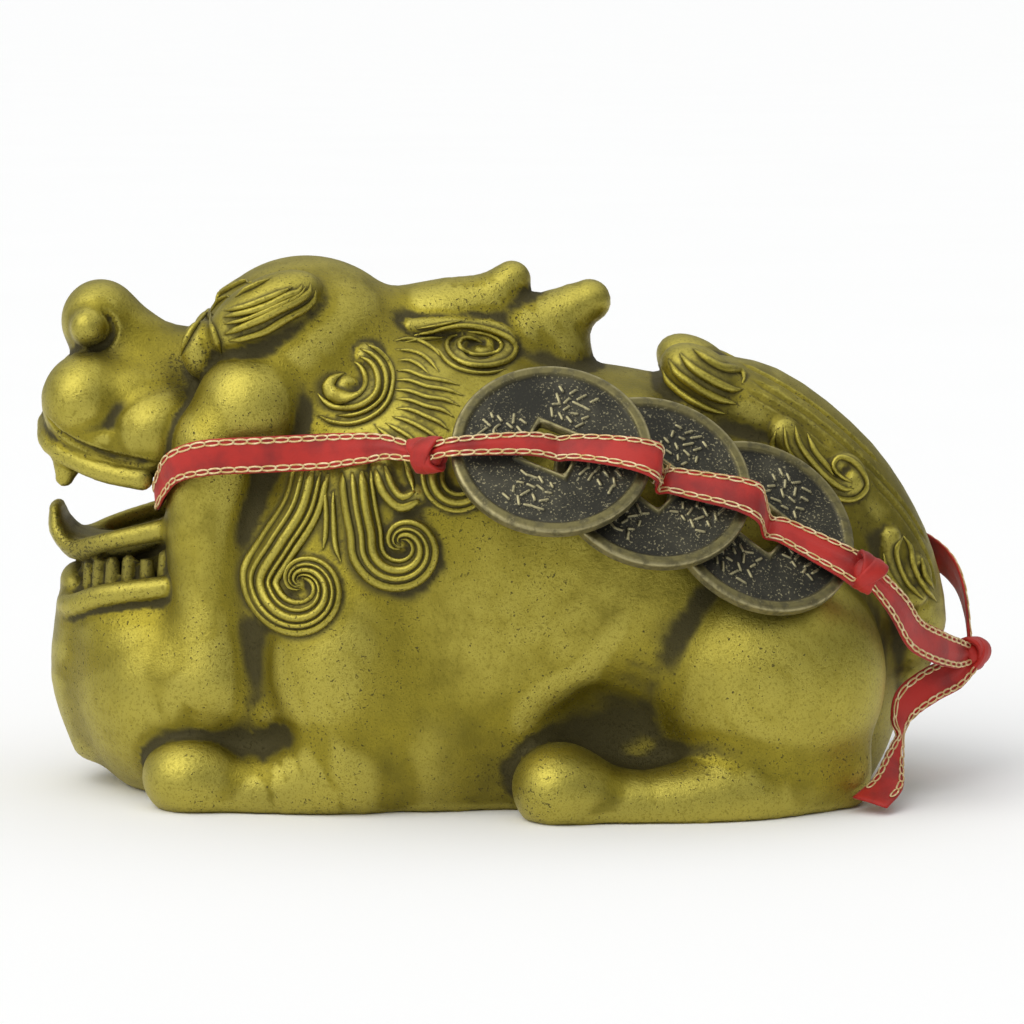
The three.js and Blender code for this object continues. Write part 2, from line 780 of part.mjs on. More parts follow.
// A plate between two levels with a hole in it
function plate(outline, holeOutline, from, to) {
  const shape = new THREE.Shape(outline);
  shape.holes.push(new THREE.Path(holeOutline));
  const geometry = new THREE.ExtrudeGeometry(shape, { depth: to - from, bevelEnabled: false });
  return toSolid(geometry.translate(0, 0, from));
}

// A coin lies in its own XY plane, its back at 0. Its face is sunk between the rim and the square hole's rim.
function makeCoin() {
  const squareOutline = (side) => ringOutline(side / Math.SQRT2, 4, Math.PI / 4);
  const hole = squareOutline(coinHoleSide);
  const outer = ringOutline(coinDiameter / 2, coinSides);
  const inner = ringOutline(coinDiameter / 2 - coinRimWidth, coinSides);
  const field = plate(outer, hole, 0, coinThickness - coinFieldDepth);
  const rim = plate(outer, inner, 0, coinThickness);
  const holeRim = plate(squareOutline(coinHoleSide + 2 * coinHoleRimWidth), hole, 0, coinThickness);
  return toGeometry(field.add(rim).add(holeRim));
}

// Distance to a placed coin, its hole left open
function coinDistance({ inverse }, point) {
  const local = point.clone().applyMatrix4(inverse);
  const across = Math.hypot(local.x, local.y) - coinDiameter / 2;
  const hole = coinHoleSide / 2 - Math.max(Math.abs(local.x), Math.abs(local.y));
  const through = Math.abs(local.z - coinThickness / 2) - coinThickness / 2;
  const side = Math.max(across, hole);
  return side > 0 && through > 0 ? Math.hypot(side, through) : Math.max(side, through);
}

// Points on one face of a coin, on rings out to its edge
function coinFacePoints(matrix, level) {
  return coinRings.flatMap((share) =>
    ringOutline((share * coinDiameter) / 2, coinSides).map((point) =>
      new THREE.Vector3(point.x, point.y, level).applyMatrix4(matrix),
    ),
  );
}

// A coin comes in along its own axis until it rests on the figure or on the coin below it
function placeCoin({ name, at, facing, turn }, lower) {
  const normal = new THREE.Vector3(...facing).normalize();
  const level = new THREE.Vector3(1, 0, 0).projectOnPlane(normal).normalize();
  level.applyAxisAngle(normal, THREE.MathUtils.degToRad(turn));
  const axes = new THREE.Matrix4().makeBasis(level, normal.clone().cross(level), normal);
  const foot = onSide(at);
  foot.y = -foot.y;
  foot.multiplyScalar(part).addScaledVector(normal, coinDiameter);
  const placedAt = (point) => {
    const matrix = axes.clone().setPosition(point);
    return { name, normal, matrix, inverse: matrix.clone().invert() };
  };
  for (let step = 0; step < mostSteps; step += 1) {
    const coin = placedAt(foot);
    const back = coinFacePoints(coin.matrix, 0);
    const rooms = back.map((point) => figureDistance(...point));
    if (lower) {
      rooms.push(...back.map((point) => coinDistance(lower, point)));
      rooms.push(...coinFacePoints(lower.matrix, coinThickness).map((point) => coinDistance(coin, point)));
    }
    const room = Math.min(...rooms) - gap;
    if (room < closeEnough) {
      return coin;
    }
    foot.addScaledVector(normal, -room * stepShare);
  }
  throw new Error(`${name} finds nothing to rest on`);
}

// The coins from the lowest, which lies at the rear
const placedCoins = coins.reduceRight((placed, coin) => [placeCoin(coin, placed[0]), ...placed], []);

// Distance to everything that the ribbon lies on
function underRibbon(point) {
  return Math.min(figureDistance(...point), ...placedCoins.map((coin) => coinDistance(coin, point)));
}

// Places along the ribbon, in parts of the figure's length, with the way that its face looks there. The ribbon
// rests on what is under it and is taut between; at a held place or knot it keeps to the place itself. The
// share is the part of its full width that it has where it is gathered or spread, and a knot has its three
// radii in millimetres.
const bridle = [
  { at: [-40.4, 0, 35.2], facing: [-1, 0, 0], share: 0.6, held: true },
  { at: [-40.4, -8.6, 35.2], facing: [-1, -0.1, 0], share: 0.6, held: true },
  { at: [-40.3, -11.4, 35.6], facing: [-1, -0.2, 0], share: 0.6, held: true },
  { at: [-40.1, -13.9, 36.3], facing: [-0.95, -0.35, -0.1], share: 0.6, held: true },
  { at: [-39.2, -15.4, 38.2], facing: [-0.8, -0.6, 0], share: 0.7, held: true },
  { at: [-37.6, -17.4, 40], facing: [-0.5, -0.85, 0.1], share: 0.85 },
  { at: [-34.6, -18.4, 41.1], facing: [-0.1, -1, 0.1] },
  { at: [-28, -18, 41.5], facing: [0.1, -1, 0.1] },
  { at: [-19, -17.5, 41.7], facing: [0, -1, 0.15] },
];
const knotShare = 0.7;
const frontKnot = {
  at: [-8.2, -25.7, 42.3],
  facing: [-0.1, -0.93, 0.35],
  share: knotShare,
  knot: [2.1, 1.7, 1.9],
};
const rearKnot = {
  at: [42.3, -22.8, 28.3],
  facing: [0.4, -0.85, 0.2],
  share: knotShare,
  knot: [1.7, 1.5, 2.2],
};

// Past each coin's hole, the ribbon crosses the coin's face and bends down over its rim, to the next hole or
// knot.
const throughCoins = placedCoins.flatMap(({ matrix, normal }, i) => {
  const middle = new THREE.Vector3(0, 0, coinThickness / 2).applyMatrix4(matrix);
  const next = placedCoins[i + 1]
    ? new THREE.Vector3().setFromMatrixPosition(placedCoins[i + 1].matrix)
    : new THREE.Vector3(...rearKnot.at).multiplyScalar(part);
  const onward = next.sub(middle).projectOnPlane(normal).normalize();
  const hole = middle
    .clone()
    .addScaledVector(onward, holeShift)
    .addScaledVector(normal, coinThickness / 2 - holeDip);
  const rim = middle
    .clone()
    .addScaledVector(onward, coinDiameter / 2 + rimReach)
    .addScaledVector(normal, (coinThickness + ribbonThickness) / 2 + gap);
  return [
    { at: hole.divideScalar(part).toArray(), facing: normal.toArray(), share: holeShare, held: true },
    { at: rim.divideScalar(part).toArray(), facing: normal.toArray(), held: true },
  ];
});
const tailKnot = { at: [57, 0, 15.3], facing: [0.95, -0.2, 0.1], share: knotShare, knot: [1.9, 1.9, 2] };
const behindCoins = [
  { at: [46, -17.5, 23.5], facing: [0.6, -0.8, 0.2], share: 0.9 },
  { at: [47.6, -13.5, 20], facing: [0.7, -0.7, 0.1] },
  { at: [50.4, -8.5, 17.5], facing: [0.8, -0.6, 0.1] },
  { at: [54, -4, 16], facing: [0.85, -0.5, 0.1], share: 0.9 },
];
const farSide = [
  { at: [-8, 18, 42], facing: [0, 0.93, 0.35] },
  { at: [8, 19, 41], facing: [0.1, 0.8, 0.55] },
  { at: [24, 18, 37], facing: [0.2, 0.8, 0.5] },
  { at: [38, 14, 31.5], facing: [0.5, 0.8, 0.3] },
  { at: [47, 9, 27.5], facing: [0.75, 0.6, 0.2] },
  { at: [53.5, 2.5, 24], facing: [0.95, 0.25, 0.2] },
];
const tautSpans = [
  [...bridle, frontKnot, ...throughCoins, rearKnot, ...behindCoins, tailKnot],
  [...bridle.map(mirrored), ...farSide, tailKnot],
];

// Loose ends hang from a knot, their places measured from its middle.
const looseEnds = [
  {
    name: "long",
    from: tailKnot,
    places: [
      { at: [0, -0.4, -0.4], facing: [0.6, -0.7, 0.5], share: 0.7 },
      { at: [-2.6, -4.4, -1.6], facing: [0.5, -0.8, 0.3] },
      { at: [-6.2, -9, -2.6], facing: [0.4, -0.85, 0.3] },
      { at: [-9, -11.5, -4.3], facing: [0.6, -0.8, 0.1] },
      { at: [-9.7, -12.3, -6.4], facing: [0.7, -0.7, 0.1], share: 0.7 },
      { at: [-9.7, -12.6, -7.9], facing: [0.9, -0.3, 0.2], share: 0.3 },
      { at: [-10.6, -15.5, -10.3], facing: [0.5, -0.5, 0.6], share: 0.6 },
      { at: [-11.7, -19.5, -12.4], facing: [0.1, -0.4, 0.9], share: 0.9 },
      { at: [-14, -22.8, -13.9], facing: [0, -0.3, 1], share: 1.1 },
    ],
  },
  {
    name: "inner",
    from: tailKnot,
    places: [
      { at: [0, 0.5, -0.6], facing: [0.8, 0.2, -0.3], share: 0.7 },
      { at: [-4.6, 1.6, -4.8], facing: [0.8, 0.2, -0.4], share: 0.9 },
      { at: [-8.8, 2.6, -8.6], facing: [0.8, 0.3, -0.4], share: 0.9 },
    ],
  },
];

function mirrored({ at, facing, ...rest }) {
  return { at: [at[0], -at[1], at[2]], facing: [facing[0], -facing[1], facing[2]], ...rest };
}

// Stations every step along a smooth line through the places
function stationsAlong(places) {
  const points = places.map(({ at }) => new THREE.Vector3(...at).multiplyScalar(part));
  const line = new THREE.CatmullRomCurve3(points);
  const stations = [];
  places.slice(1).forEach((next, i) => {
    const last = places[i];
    const length = points[i].distanceTo(points[i + 1]);
    const count = Math.max(Math.round(length / ribbonStep), 1);
    for (let j = i === 0 ? 0 : 1; j <= count; j += 1) {
      const share = (i + j / count) / (places.length - 1);
      const facing = new THREE.Vector3(...last.facing).lerp(new THREE.Vector3(...next.facing), j / count);
      const width = ribbonWidth * THREE.MathUtils.lerp(last.share ?? 1, next.share ?? 1, j / count);
      const own = [last, ...Array(count - 1), next][j];
      stations.push({ at: line.getPoint(share), facing: facing.normalize(), width, place: own ?? {} });
    }
  });
  turnAcross(stations);
  return stations;
}

// The way across the ribbon at each station, at right angles to its run and its face
function turnAcross(stations) {
  stations.forEach((station, i) => {
    const before = stations[Math.max(i - 1, 0)].at;
    const after = stations[Math.min(i + 1, stations.length - 1)].at;
    const run = after.clone().sub(before).normalize();
    station.run = run;
    station.across = run.clone().cross(station.facing).normalize();
    station.out = station.across.clone().cross(run).normalize();
  });
}

// How far out along its face a station comes to rest on what is under it and half of the way to the next ones
function restingLift({ at, run, across, out, width }) {
  const clear = gap + ribbonThickness / 2;
  const most = ribbonWidth * 2;
  const liftFrom = (foot) => {
    const roomAt = (lift) => underRibbon(foot.clone().addScaledVector(out, lift)) - clear;
    let lift = most;
    let room = roomAt(lift);
    while (room > closeEnough && lift > -most) {
      lift -= room * stepShare;
      room = roomAt(lift);
    }
    return lift;
  };
  const feet = restAcross.flatMap((side) =>
    restAlong.map((ahead) =>
      at.clone().addScaledVector(across, side * width).addScaledVector(run, ahead * ribbonStep),
    ),
  );
  return Math.max(...feet.map(liftFrom));
}

// A knot, like a held place, keeps to its own place
const isHeld = ({ place }) => Boolean(place.held || place.knot);

// Lays the stations on what is under them, taut where they pass over a hollow
function layDown(stations) {
  const rest = stations.map((station) => (isHeld(station) ? 0 : restingLift(station)));
  const lifts = [...rest];
  for (let round = 0; round < tautRounds; round += 1) {
    for (let i = 1; i < stations.length - 1; i += 1) {
      if (!isHeld(stations[i])) {
        lifts[i] = Math.max(rest[i], (lifts[i - 1] + lifts[i + 1]) / 2);
      }
    }
  }
  stations.forEach((station, i) => station.at.addScaledVector(station.out, lifts[i]));
  turnAcross(stations);
  return stations;
}

// A flat strap through the stations, closed at both ends
function strap(stations) {
  const places = stations.flatMap(({ at, across, out, width }) =>
    [[-1, 1], [1, 1], [1, -1], [-1, -1]].map(([side, face]) =>
      at
        .clone()
        .addScaledVector(across, (side * width) / 2)
        .addScaledVector(out, (face * ribbonThickness) / 2),
    ),
  );
  const faces = [[0, 2, 1], [0, 3, 2]];
  for (let i = 0; i < stations.length - 1; i += 1) {
    for (let corner = 0; corner < 4; corner += 1) {
      const [a, b] = [i * 4 + corner, i * 4 + ((corner + 1) % 4)];
      faces.push([a, b, b + 4], [a, b + 4, a + 4]);
    }
  }
  const end = (stations.length - 1) * 4;
  faces.push([end, end + 1, end + 2], [end, end + 2, end + 3]);
  return toSolid(indexedGeometry(places, faces));
}

function makeRibbon() {
  const laid = tautSpans.map((places) => layDown(stationsAlong(places)));
  const knots = new Map(laid.flat().map(({ place, at }) => [place, at]).filter(([place]) => place.knot));
  const hanging = looseEnds.map(({ from, places }) => {
    const stations = stationsAlong(places);
    stations.forEach(({ at }) => at.add(knots.get(from)));
    return stations;
  });
  const balls = [...knots].map(([{ knot }, at]) => {
    const ball = new THREE.SphereGeometry(1, knotSides, knotRings).scale(...knot);
    return toSolid(ball.translate(...at));
  });
  const solids = [...laid.map(strap), ...hanging.map(strap), ...balls];
  return toGeometry(solids.reduce((all, next) => all.add(next)));
}

const brass = new THREE.MeshStandardMaterial({ color: 0x9a8b3c, roughness: 0.42, metalness: 1 });
const oldBronze = new THREE.MeshStandardMaterial({ color: 0x3d3d36, roughness: 0.5, metalness: 1 });
const redSatin = new THREE.MeshStandardMaterial({ color: 0xb81f22, roughness: 0.45, metalness: 0 });

function namedMesh(name, geometry, material) {
  const mesh = new THREE.Mesh(geometry, material);
  mesh.name = name;
  return mesh;
}

const model = new THREE.Group();
model.add(namedMesh("pixiu_figure", makeFigure(), brass));
for (const { name, matrix } of placedCoins) {
  const coin = namedMesh(name, makeCoin(), oldBronze);
  coin.applyMatrix4(matrix);
  model.add(coin);
}
model.add(namedMesh("ribbon", makeRibbon(), redSatin));

export default model;
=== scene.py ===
# A lying pixiu cast in brass, its mouth open, with three old coins tied along its side on a red ribbon.
# The frame's units are metres; the shapes are worked out in millimetres and brought to metres at the end.
import math
import bpy
import mathutils
import numpy as np
import openvdb
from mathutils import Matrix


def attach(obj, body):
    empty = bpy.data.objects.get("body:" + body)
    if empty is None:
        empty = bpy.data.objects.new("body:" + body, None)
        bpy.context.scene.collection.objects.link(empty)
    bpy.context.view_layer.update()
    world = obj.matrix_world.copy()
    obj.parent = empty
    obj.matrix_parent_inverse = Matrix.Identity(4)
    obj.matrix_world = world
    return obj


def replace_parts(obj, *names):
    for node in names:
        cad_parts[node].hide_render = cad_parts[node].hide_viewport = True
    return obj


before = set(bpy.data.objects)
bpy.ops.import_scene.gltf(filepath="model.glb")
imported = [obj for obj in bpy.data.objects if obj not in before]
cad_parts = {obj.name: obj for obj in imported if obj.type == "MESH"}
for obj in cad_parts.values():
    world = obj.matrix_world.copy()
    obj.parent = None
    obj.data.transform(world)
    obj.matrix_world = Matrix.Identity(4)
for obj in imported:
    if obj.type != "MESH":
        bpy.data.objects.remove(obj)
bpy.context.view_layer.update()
mm = 0.001
fullTurn = 2 * math.pi
print("frame loaded")

# forms of the casting, added or cut in turn: places are (along, out from the middle, up) in mm

castForms = {
    "trunk": {"at": (3, 0, 22.5), "radii": (46, 25.5, 28.6), "blend": 0},
    "belly": {"at": (0, 0, 9), "radii": (46, 22, 21), "blend": 6},
    "rump": {"at": (31, 0, 17), "radii": (16.5, 18.5, 26), "blend": 6},
    "back": {"at": (6, 12, 35), "radii": (17, 11.5, 11), "blend": 6},
    "neck": {"at": (-10, 0, 37), "radii": (20, 22.5, 18), "blend": 6},
    "chest": {"at": (-36, 0, 13), "radii": (16.3, 19.5, 16), "blend": 3},
    "shoulder": {"at": (-18.5, 14, 15.5), "radii": (9.6, 12.2, 15), "blend": 6},
    "elbow": {"at": (-9, 14, 9), "radii": (8, 10, 12), "blend": 5},
    "column": {"along": ((-33, 12.5, 42), (-33.8, 13, 32), (-33.4, 14, 24), (-33.4, 15.4, 15)),
        "radii": (5.6, 5.5, 5.2, 5.6), "blend": 2.5},
    "shoulderFold": {"along": ((-28.6, 21.5, 21), (-28.8, 22, 15), (-27.6, 23.5, 10), (-26.4, 23, 7.6)),
        "radii": (0.4, 0.8, 1.5, 2.2), "blend": 3.6, "cut": True},
    "pawFold": {"along": ((-36.5, 21.6, 11), (-32, 22.6, 9.4), (-27, 22, 7.4)), "radii": (0.4, 0.9, 1.8),
        "blend": 3, "cut": True},
    "skull": {"at": (-23.2, 0, 50), "radii": (13.6, 15, 13.5), "blend": 4},
    "jowl": {"at": (-29, 11.2, 45.8), "radii": (7, 7.2, 7.2), "blend": 1.5},
    "maneCushion": {"at": (-23, 12, 28), "radii": (6.5, 8, 10), "blend": 3},
    "upperJaw": {"at": (-44, 0, 46.5), "radii": (11, 11, 6.5), "blend": 3},
    "palate": {"at": (-45.3, 0, 42.6), "radii": (9.4, 11.9, 4.6), "blend": 1.5},
    "bridge": {"along": ((-47.6, 0, 55.4), (-42.3, 0, 51.6), (-36.5, 0, 49)), "radii": (4.6, 4.6, 5.4),
        "flat": 1.15, "blend": 2.5},
    "nose": {"at": (-47.9, 0, 56.1), "radii": (4.2, 5.6, 4.4), "blend": 1.5},
    "nostril": {"at": (-48.8, 5, 55.3), "radii": (2.2, 2.6, 2.3), "blend": 0.8},
    "flew": {"at": (-48.9, 5.6, 46.6), "radii": (5.5, 6.4, 5.8), "blend": 1},
    "cheek": {"at": (-40.3, 8.4, 43.2), "radii": (5.9, 5.8, 5.4), "blend": 0.8},
    "lipBed": {"along": ((-53, 0, 44.6), (-51.9, 5.4, 42.9), (-46.6, 9.2, 40.7), (-41.4, 10.8, 40)),
        "radii": (1.6, 1.7, 1.8, 1.8), "blend": 0.8},
    "upperLip": {"along": ((-54.3, 0, 43.4), (-53.2, 6, 41.5), (-47.2, 10.6, 38.9), (-42, 12.6, 38)),
        "radii": (1.3, 1.3, 1.3, 1.3), "blend": 0.6},
    "eye": {"at": (-35.2, 8.8, 53), "radii": (2.4, 2.6, 3.4), "blend": 0.8},
    "brow": {"at": (-27.6, 10.2, 57.4), "radii": (7.4, 5, 4), "lean": 30, "blend": 1.2},
    "lowerJaw": {"at": (-41.5, 0, 20), "radii": (11.3, 13.6, 7.3), "blend": 3},
    "chin": {"along": ((-50.9, 0, 24.5), (-50.9, 0, 17)), "radii": (2.1, 2.4), "flat": 2.6, "blend": 1.2},
    "lowerLip": {"along": ((-51.9, 0, 21.8), (-50.9, 7, 22.2), (-46.5, 11.6, 24.1), (-39, 14.2, 25.4)),
        "radii": (1.5, 1.4, 1.4, 1.4), "blend": 0.6},
    "breastBand": {"along": ((-50.6, 0, 19), (-51.6, 0, 13), (-49.6, 0, 5)), "radii": (2.2, 2.6, 2.2),
        "flat": 2.2, "blend": 2.6},
    "breastBoss": {"at": (-50.9, 5, 15.4), "radii": (1.7, 2, 2.7), "blend": 0.4},
    "paw": {"at": (-36.4, 17.4, 3.6), "radii": (5.5, 6.2, 4.9), "blend": 0.8},
    "foreLeg": {"along": ((-34, 18, 2.3), (-26, 19.4, 2.2), (-18, 19, 5)), "radii": (4.3, 4.1, 6.6),
        "blend": 3},
    "flankFold": {"along": ((19.5, 26.5, 26), (17, 27, 19), (14.5, 26.5, 12.5)), "radii": (0.8, 2, 4.6),
        "blend": 3.4, "cut": True},
    "flank": {"at": (13.5, 26, 9.6), "radii": (9, 6, 5.2), "blend": 3, "cut": True},
    "haunch": {"at": (31, 15.4, 15.3), "radii": (14.3, 12.8, 14.8), "blend": 1.6},
    "hindPaw": {"at": (6.8, 24.8, 3.8), "radii": (5.3, 6.4, 4.9), "blend": 0.8},
    "hindLeg": {"along": ((8, 24.8, 2.4), (17, 25, 1.4), (28, 22.4, 2.4), (38, 16, 3.6)),
        "radii": (4.3, 4.1, 5.4, 5.7), "blend": 3.2},
    "hornBlade": {"along": ((-15, 0, 55), (-6, 0, 56.6), (-1, 0, 58.2), (1.4, 0, 60.6)),
        "radii": (4.4, 4.3, 3.4, 2.3), "flat": 1.25, "blend": 1.6},
    "hornStem": {"along": ((-8, 0, 55.2), (3, 0, 54.6), (10.7, 0, 58.1)), "radii": (4.2, 4.3, 2.6),
        "flat": 1.25, "blend": 1.6},
    "hornRoot": {"along": ((-6, 0, 52), (7, 0, 52)), "radii": (4, 4), "flat": 1.4, "blend": 2},
    "tail": {"along": ((24, 0, 46.4), (31, 0, 44.9), (40.6, 0, 37.2), (46.2, 0, 28.6), (49, 0, 20),
        (48.4, 0, 15)), "radii": (5.4, 5.5, 5.6, 5.4, 4.8, 3.6), "flat": 2.1, "blend": 1.5},
    "tailShell": {"at": (24, 6.8, 49.3), "radii": (5.6, 5.2, 3.5), "lean": -35, "blend": 0.8},
    "mouth": {"at": (-45.5, 0, 33.8), "radii": (13, 10.8, 4.6), "blend": 1, "cut": True},
    "tongue": {"along": ((-53.3, 0, 33.2), (-52.8, 0, 31), (-50.8, 0, 29), (-46, 0, 28.6), (-38, 0, 31)),
        "radii": (0.9, 1.4, 1.7, 1.7, 1.6), "flat": 4.6, "blend": 0.6},
    "tongueHollow": {"along": ((-51.8, 0, 34.2), (-50.4, 0, 32), (-46, 0, 31), (-38, 0, 32.6)),
        "radii": (0.8, 1.2, 1.4, 1.4), "flat": 4.6, "blend": 0.6, "cut": True},
    "gum": {"along": ((-51.2, 0, 28.8), (-50.4, 6, 29), (-46.8, 9.8, 30.2), (-39, 12.8, 32.2)),
        "radii": (1, 1, 1.1, 1.3), "blend": 0.8},
    "fang": {"along": ((-51, 6.8, 40.4), (-51.7, 6.8, 37.6)), "radii": (2.4, 1.1), "blend": 0.4},
}
locks = {  # a stem of places (x, z), then a roll round its eye: its start in degrees, its turns and half width
    "ear": {"stem": (), "eye": (-17.2, 49.6), "reach": (3.5, 3.5), "from": 60, "turns": -0.81, "width": 1.8},
    "maneUpper": {"stem": ((-10.5, 55.4), (-6, 55.6)), "eye": (-2.4, 53.1), "reach": (3.9, 2.3), "from": 100,
        "turns": -1.7, "width": 1.15},
    "maneFront": {"stem": ((-21.8, 40), (-23, 35.6), (-25.6, 31.4)), "eye": (-23, 27), "reach": (4.9, 4.5),
        "from": 175, "turns": 1.1, "width": 2.6},
    "maneRear": {"stem": ((-16.7, 40), (-16.2, 36), (-15.6, 33)), "eye": (-11.3, 31.8), "reach": (4.2, 4.1),
        "from": 195, "turns": 1.05, "width": 2.3},
    "maneMiddle": {"stem": ((-13.8, 40.5), (-12.8, 38), (-11.2, 36.6), (-9.4, 37.4)), "width": 1.2},
    "maneUnderCoin": {"stem": ((-7.6, 41.5),), "eye": (-4.2, 39.4), "reach": (3.5, 3.3), "from": 180,
        "turns": 0.9, "width": 1.4},
    "tailMiddle": {"stem": ((33.4, 43.4), (35.2, 41), (37.6, 38.6)), "eye": (40.1, 38.9), "reach": (2.4, 2.2),
        "from": 235, "turns": 0.9, "width": 1.9},
    "tailLower": {"stem": ((46.2, 31), (45.9, 28)), "eye": (48.9, 26.6), "reach": (2.5, 3.6), "from": 195,
        "turns": 1, "width": 1.25},
}
roll = {"stepsPerTurn": 14, "closing": 1.3, "thinning": 0.72, "rise": 1.1, "riseShare": 0.8, "blend": 0.4}
teeth = {
    "count": 8, "radius": 1, "tipRadius": 0.8, "height": 2.4,
    "rootUp": 23.8, "lipRise": 2.6, "inset": 1.2, "blend": 0.3,
    "row": ((-50.8, 1.4), (-50, 6), (-46.6, 9.8), (-40.6, 12.2)),
}

# lines and directions

def unit(v):  # the same directions at length one
    return v / np.maximum(np.linalg.norm(v, axis=-1, keepdims=True), 1e-12)


def folded(p):  # places brought to the side where y is positive
    return p * (1, 0, 1) + np.abs(p) * (0, 1, 0)


def curveAt(points, t):  # centripetal Catmull-Rom curve at places t, counted in points
    p = np.asarray(points, float)
    q = np.vstack([2 * p[0] - p[1], p, 2 * p[-1] - p[-2]])
    gaps = np.linalg.norm(np.diff(q, axis=0), axis=1) ** 0.5
    i = np.minimum(t.astype(int), len(p) - 2)
    w = (t - i)[:, None]
    x0, x1, x2, x3 = q[i], q[i + 1], q[i + 2], q[i + 3]
    d0, d1, d2 = gaps[i][:, None], gaps[i + 1][:, None], gaps[i + 2][:, None]
    m1 = ((x1 - x0) / d0 - (x2 - x0) / (d0 + d1) + (x2 - x1) / d1) * d1
    m2 = ((x2 - x1) / d1 - (x3 - x1) / (d1 + d2) + (x3 - x2) / d2) * d1
    return x1 + m1 * w + (3 * (x2 - x1) - 2 * m1 - m2) * w**2 + (2 * (x1 - x2) + m1 + m2) * w**3


def smoothPath(points, count):  # a curve through places, in a count of steps
    return curveAt(points, np.linspace(0, len(points) - 1, count + 1))


def lengthAlong(line):  # the distance from a line's start to each of its points
    return np.concatenate([[0], np.cumsum(np.linalg.norm(np.diff(line, axis=0), axis=1))])


def spreadOut(values, count):  # a few values stretched evenly over a count of places
    return np.interp(np.linspace(0, 1, count), np.linspace(0, 1, len(values)), values)


def sampled(table, index, t):  # each column of a table read at places t
    return np.stack([np.interp(t, index, column) for column in table.T], axis=-1)


# the casting's field

# distance in open air, where places start, and how they come in: rounds, share of the way, deepest step back
tracing = {"openAir": 8.0, "outside": 36.0, "rounds": 90, "share": 0.6, "deepest": 0.5}


def blendMin(a, b, width):  # the lesser of two distances, less a quarter of the squared overlap where they meet
    near = np.maximum(width - np.abs(a - b), 0)
    return np.minimum(a, b) - (near * near / (4 * width) if width > 0 else 0)


def prepared(form, stepsPerPoint=4):  # adds what the distance needs: a lean, or segments, and a ball round it
    form = {"flat": 1, "cut": False, "lean": 0, **form}
    if "at" in form:
        form["middle"], form["reach"] = np.array(form["at"], float), max(form["radii"])
        return form
    path = np.array(form["along"], float) / (1, form["flat"], 1)
    count = (len(path) - 1) * stepsPerPoint if len(path) > 2 else 1
    line = smoothPath(path, count)
    radii = spreadOut(form["radii"], count + 1)
    form["segments"] = list(zip(line[:-1], line[1:], radii[:-1], radii[1:]))
    middle = (line.min(0) + line.max(0)) / 2
    form["reach"] = (np.linalg.norm(line - middle, axis=1).max() + max(form["radii"])) * form["flat"]
    form["middle"] = middle * (1, form["flat"], 1)
    return form


def ellipsoidDistance(form, p):  # the scaled radius times itself less one, over its slope
    lean = math.radians(form["lean"])
    d = p - form["middle"]
    rx, ry, rz = form["radii"]
    u = (d[:, 0] * math.cos(lean) + d[:, 2] * math.sin(lean)) / rx
    v = d[:, 1] / ry
    w = (d[:, 2] * math.cos(lean) - d[:, 0] * math.sin(lean)) / rz
    scaled = np.sqrt(u * u + v * v + w * w)
    slope = np.sqrt((u / rx) ** 2 + (v / ry) ** 2 + (w / rz) ** 2)
    return np.where(slope > 0, scaled * (scaled - 1) / np.maximum(slope, 1e-9), -min(form["radii"]))


def limbDistance(form, p):  # the least distance to its segments, each less its evenly changing radius
    q = p / (1, form["flat"], 1)
    best = np.full(len(p), np.inf)
    for start, end, r0, r1 in form["segments"]:
        step = end - start
        share = np.clip((q - start) @ step / (step @ step), 0, 1)
        away = np.linalg.norm(q - start - share[:, None] * step, axis=1)
        best = np.minimum(best, away - r0 - share * (r1 - r0))
    return best


def addForms(forms, result, p):  # each form is added or cut where it is near enough to matter
    for form in forms:
        sign = -1 if form["cut"] else 1
        far = np.linalg.norm(p - form["middle"], axis=1) - form["reach"]
        near = np.nonzero(far < sign * result + form["blend"])[0]
        if len(near):
            distance = limbDistance if "segments" in form else ellipsoidDistance
            result[near] = sign * blendMin(sign * result[near], distance(form, p[near]), form["blend"])
    return result


def bareField(p):  # distance in mm to the casting without its hair, less than nought inside
    q = folded(p)
    body = addForms(bodyParts, np.full(len(q), tracing["openAir"]), q)
    return np.maximum(addForms(toothParts, body, q), -q[:, 2])


def field(p):  # distance in mm to the whole casting
    return np.maximum(addForms(lockParts, bareField(p), folded(p)), -p[:, 2])


def slopeOf(distance, p, step=0.05):  # central differences of a distance along x, y and z
    moves = np.eye(3) * step
    return np.stack([distance(p + m) - distance(p - m) for m in moves], axis=1) / (2 * step)


def onSide(places, distance):  # comes in along y from outside until it meets the side, for places (x, z)
    p = np.insert(places, 1, tracing["outside"], axis=1)
    for _ in range(tracing["rounds"]):
        d = distance(p)
        p[:, 1] = np.maximum(p[:, 1] - np.maximum(d, -tracing["deepest"]) * tracing["share"], 0)
    return p


def lockLine(lock):  # places and half widths along a lock: its stem, then a roll whose reach shrinks to the eye
    line = [(x, z, lock["width"]) for x, z in lock["stem"]]
    if "eye" in lock:
        share = np.linspace(0, 1, math.ceil(abs(lock["turns"]) * roll["stepsPerTurn"]) + 1)
        angle = np.radians(lock["from"] + share * lock["turns"] * 360)
        shrink = 1 - share ** roll["closing"]
        x = lock["eye"][0] + lock["reach"][0] * shrink * np.cos(angle)
        z = lock["eye"][1] + lock["reach"][1] * shrink * np.sin(angle)
        line += list(zip(x, z, lock["width"] * (1 - roll["thinning"] * share)))
    return np.array(line)


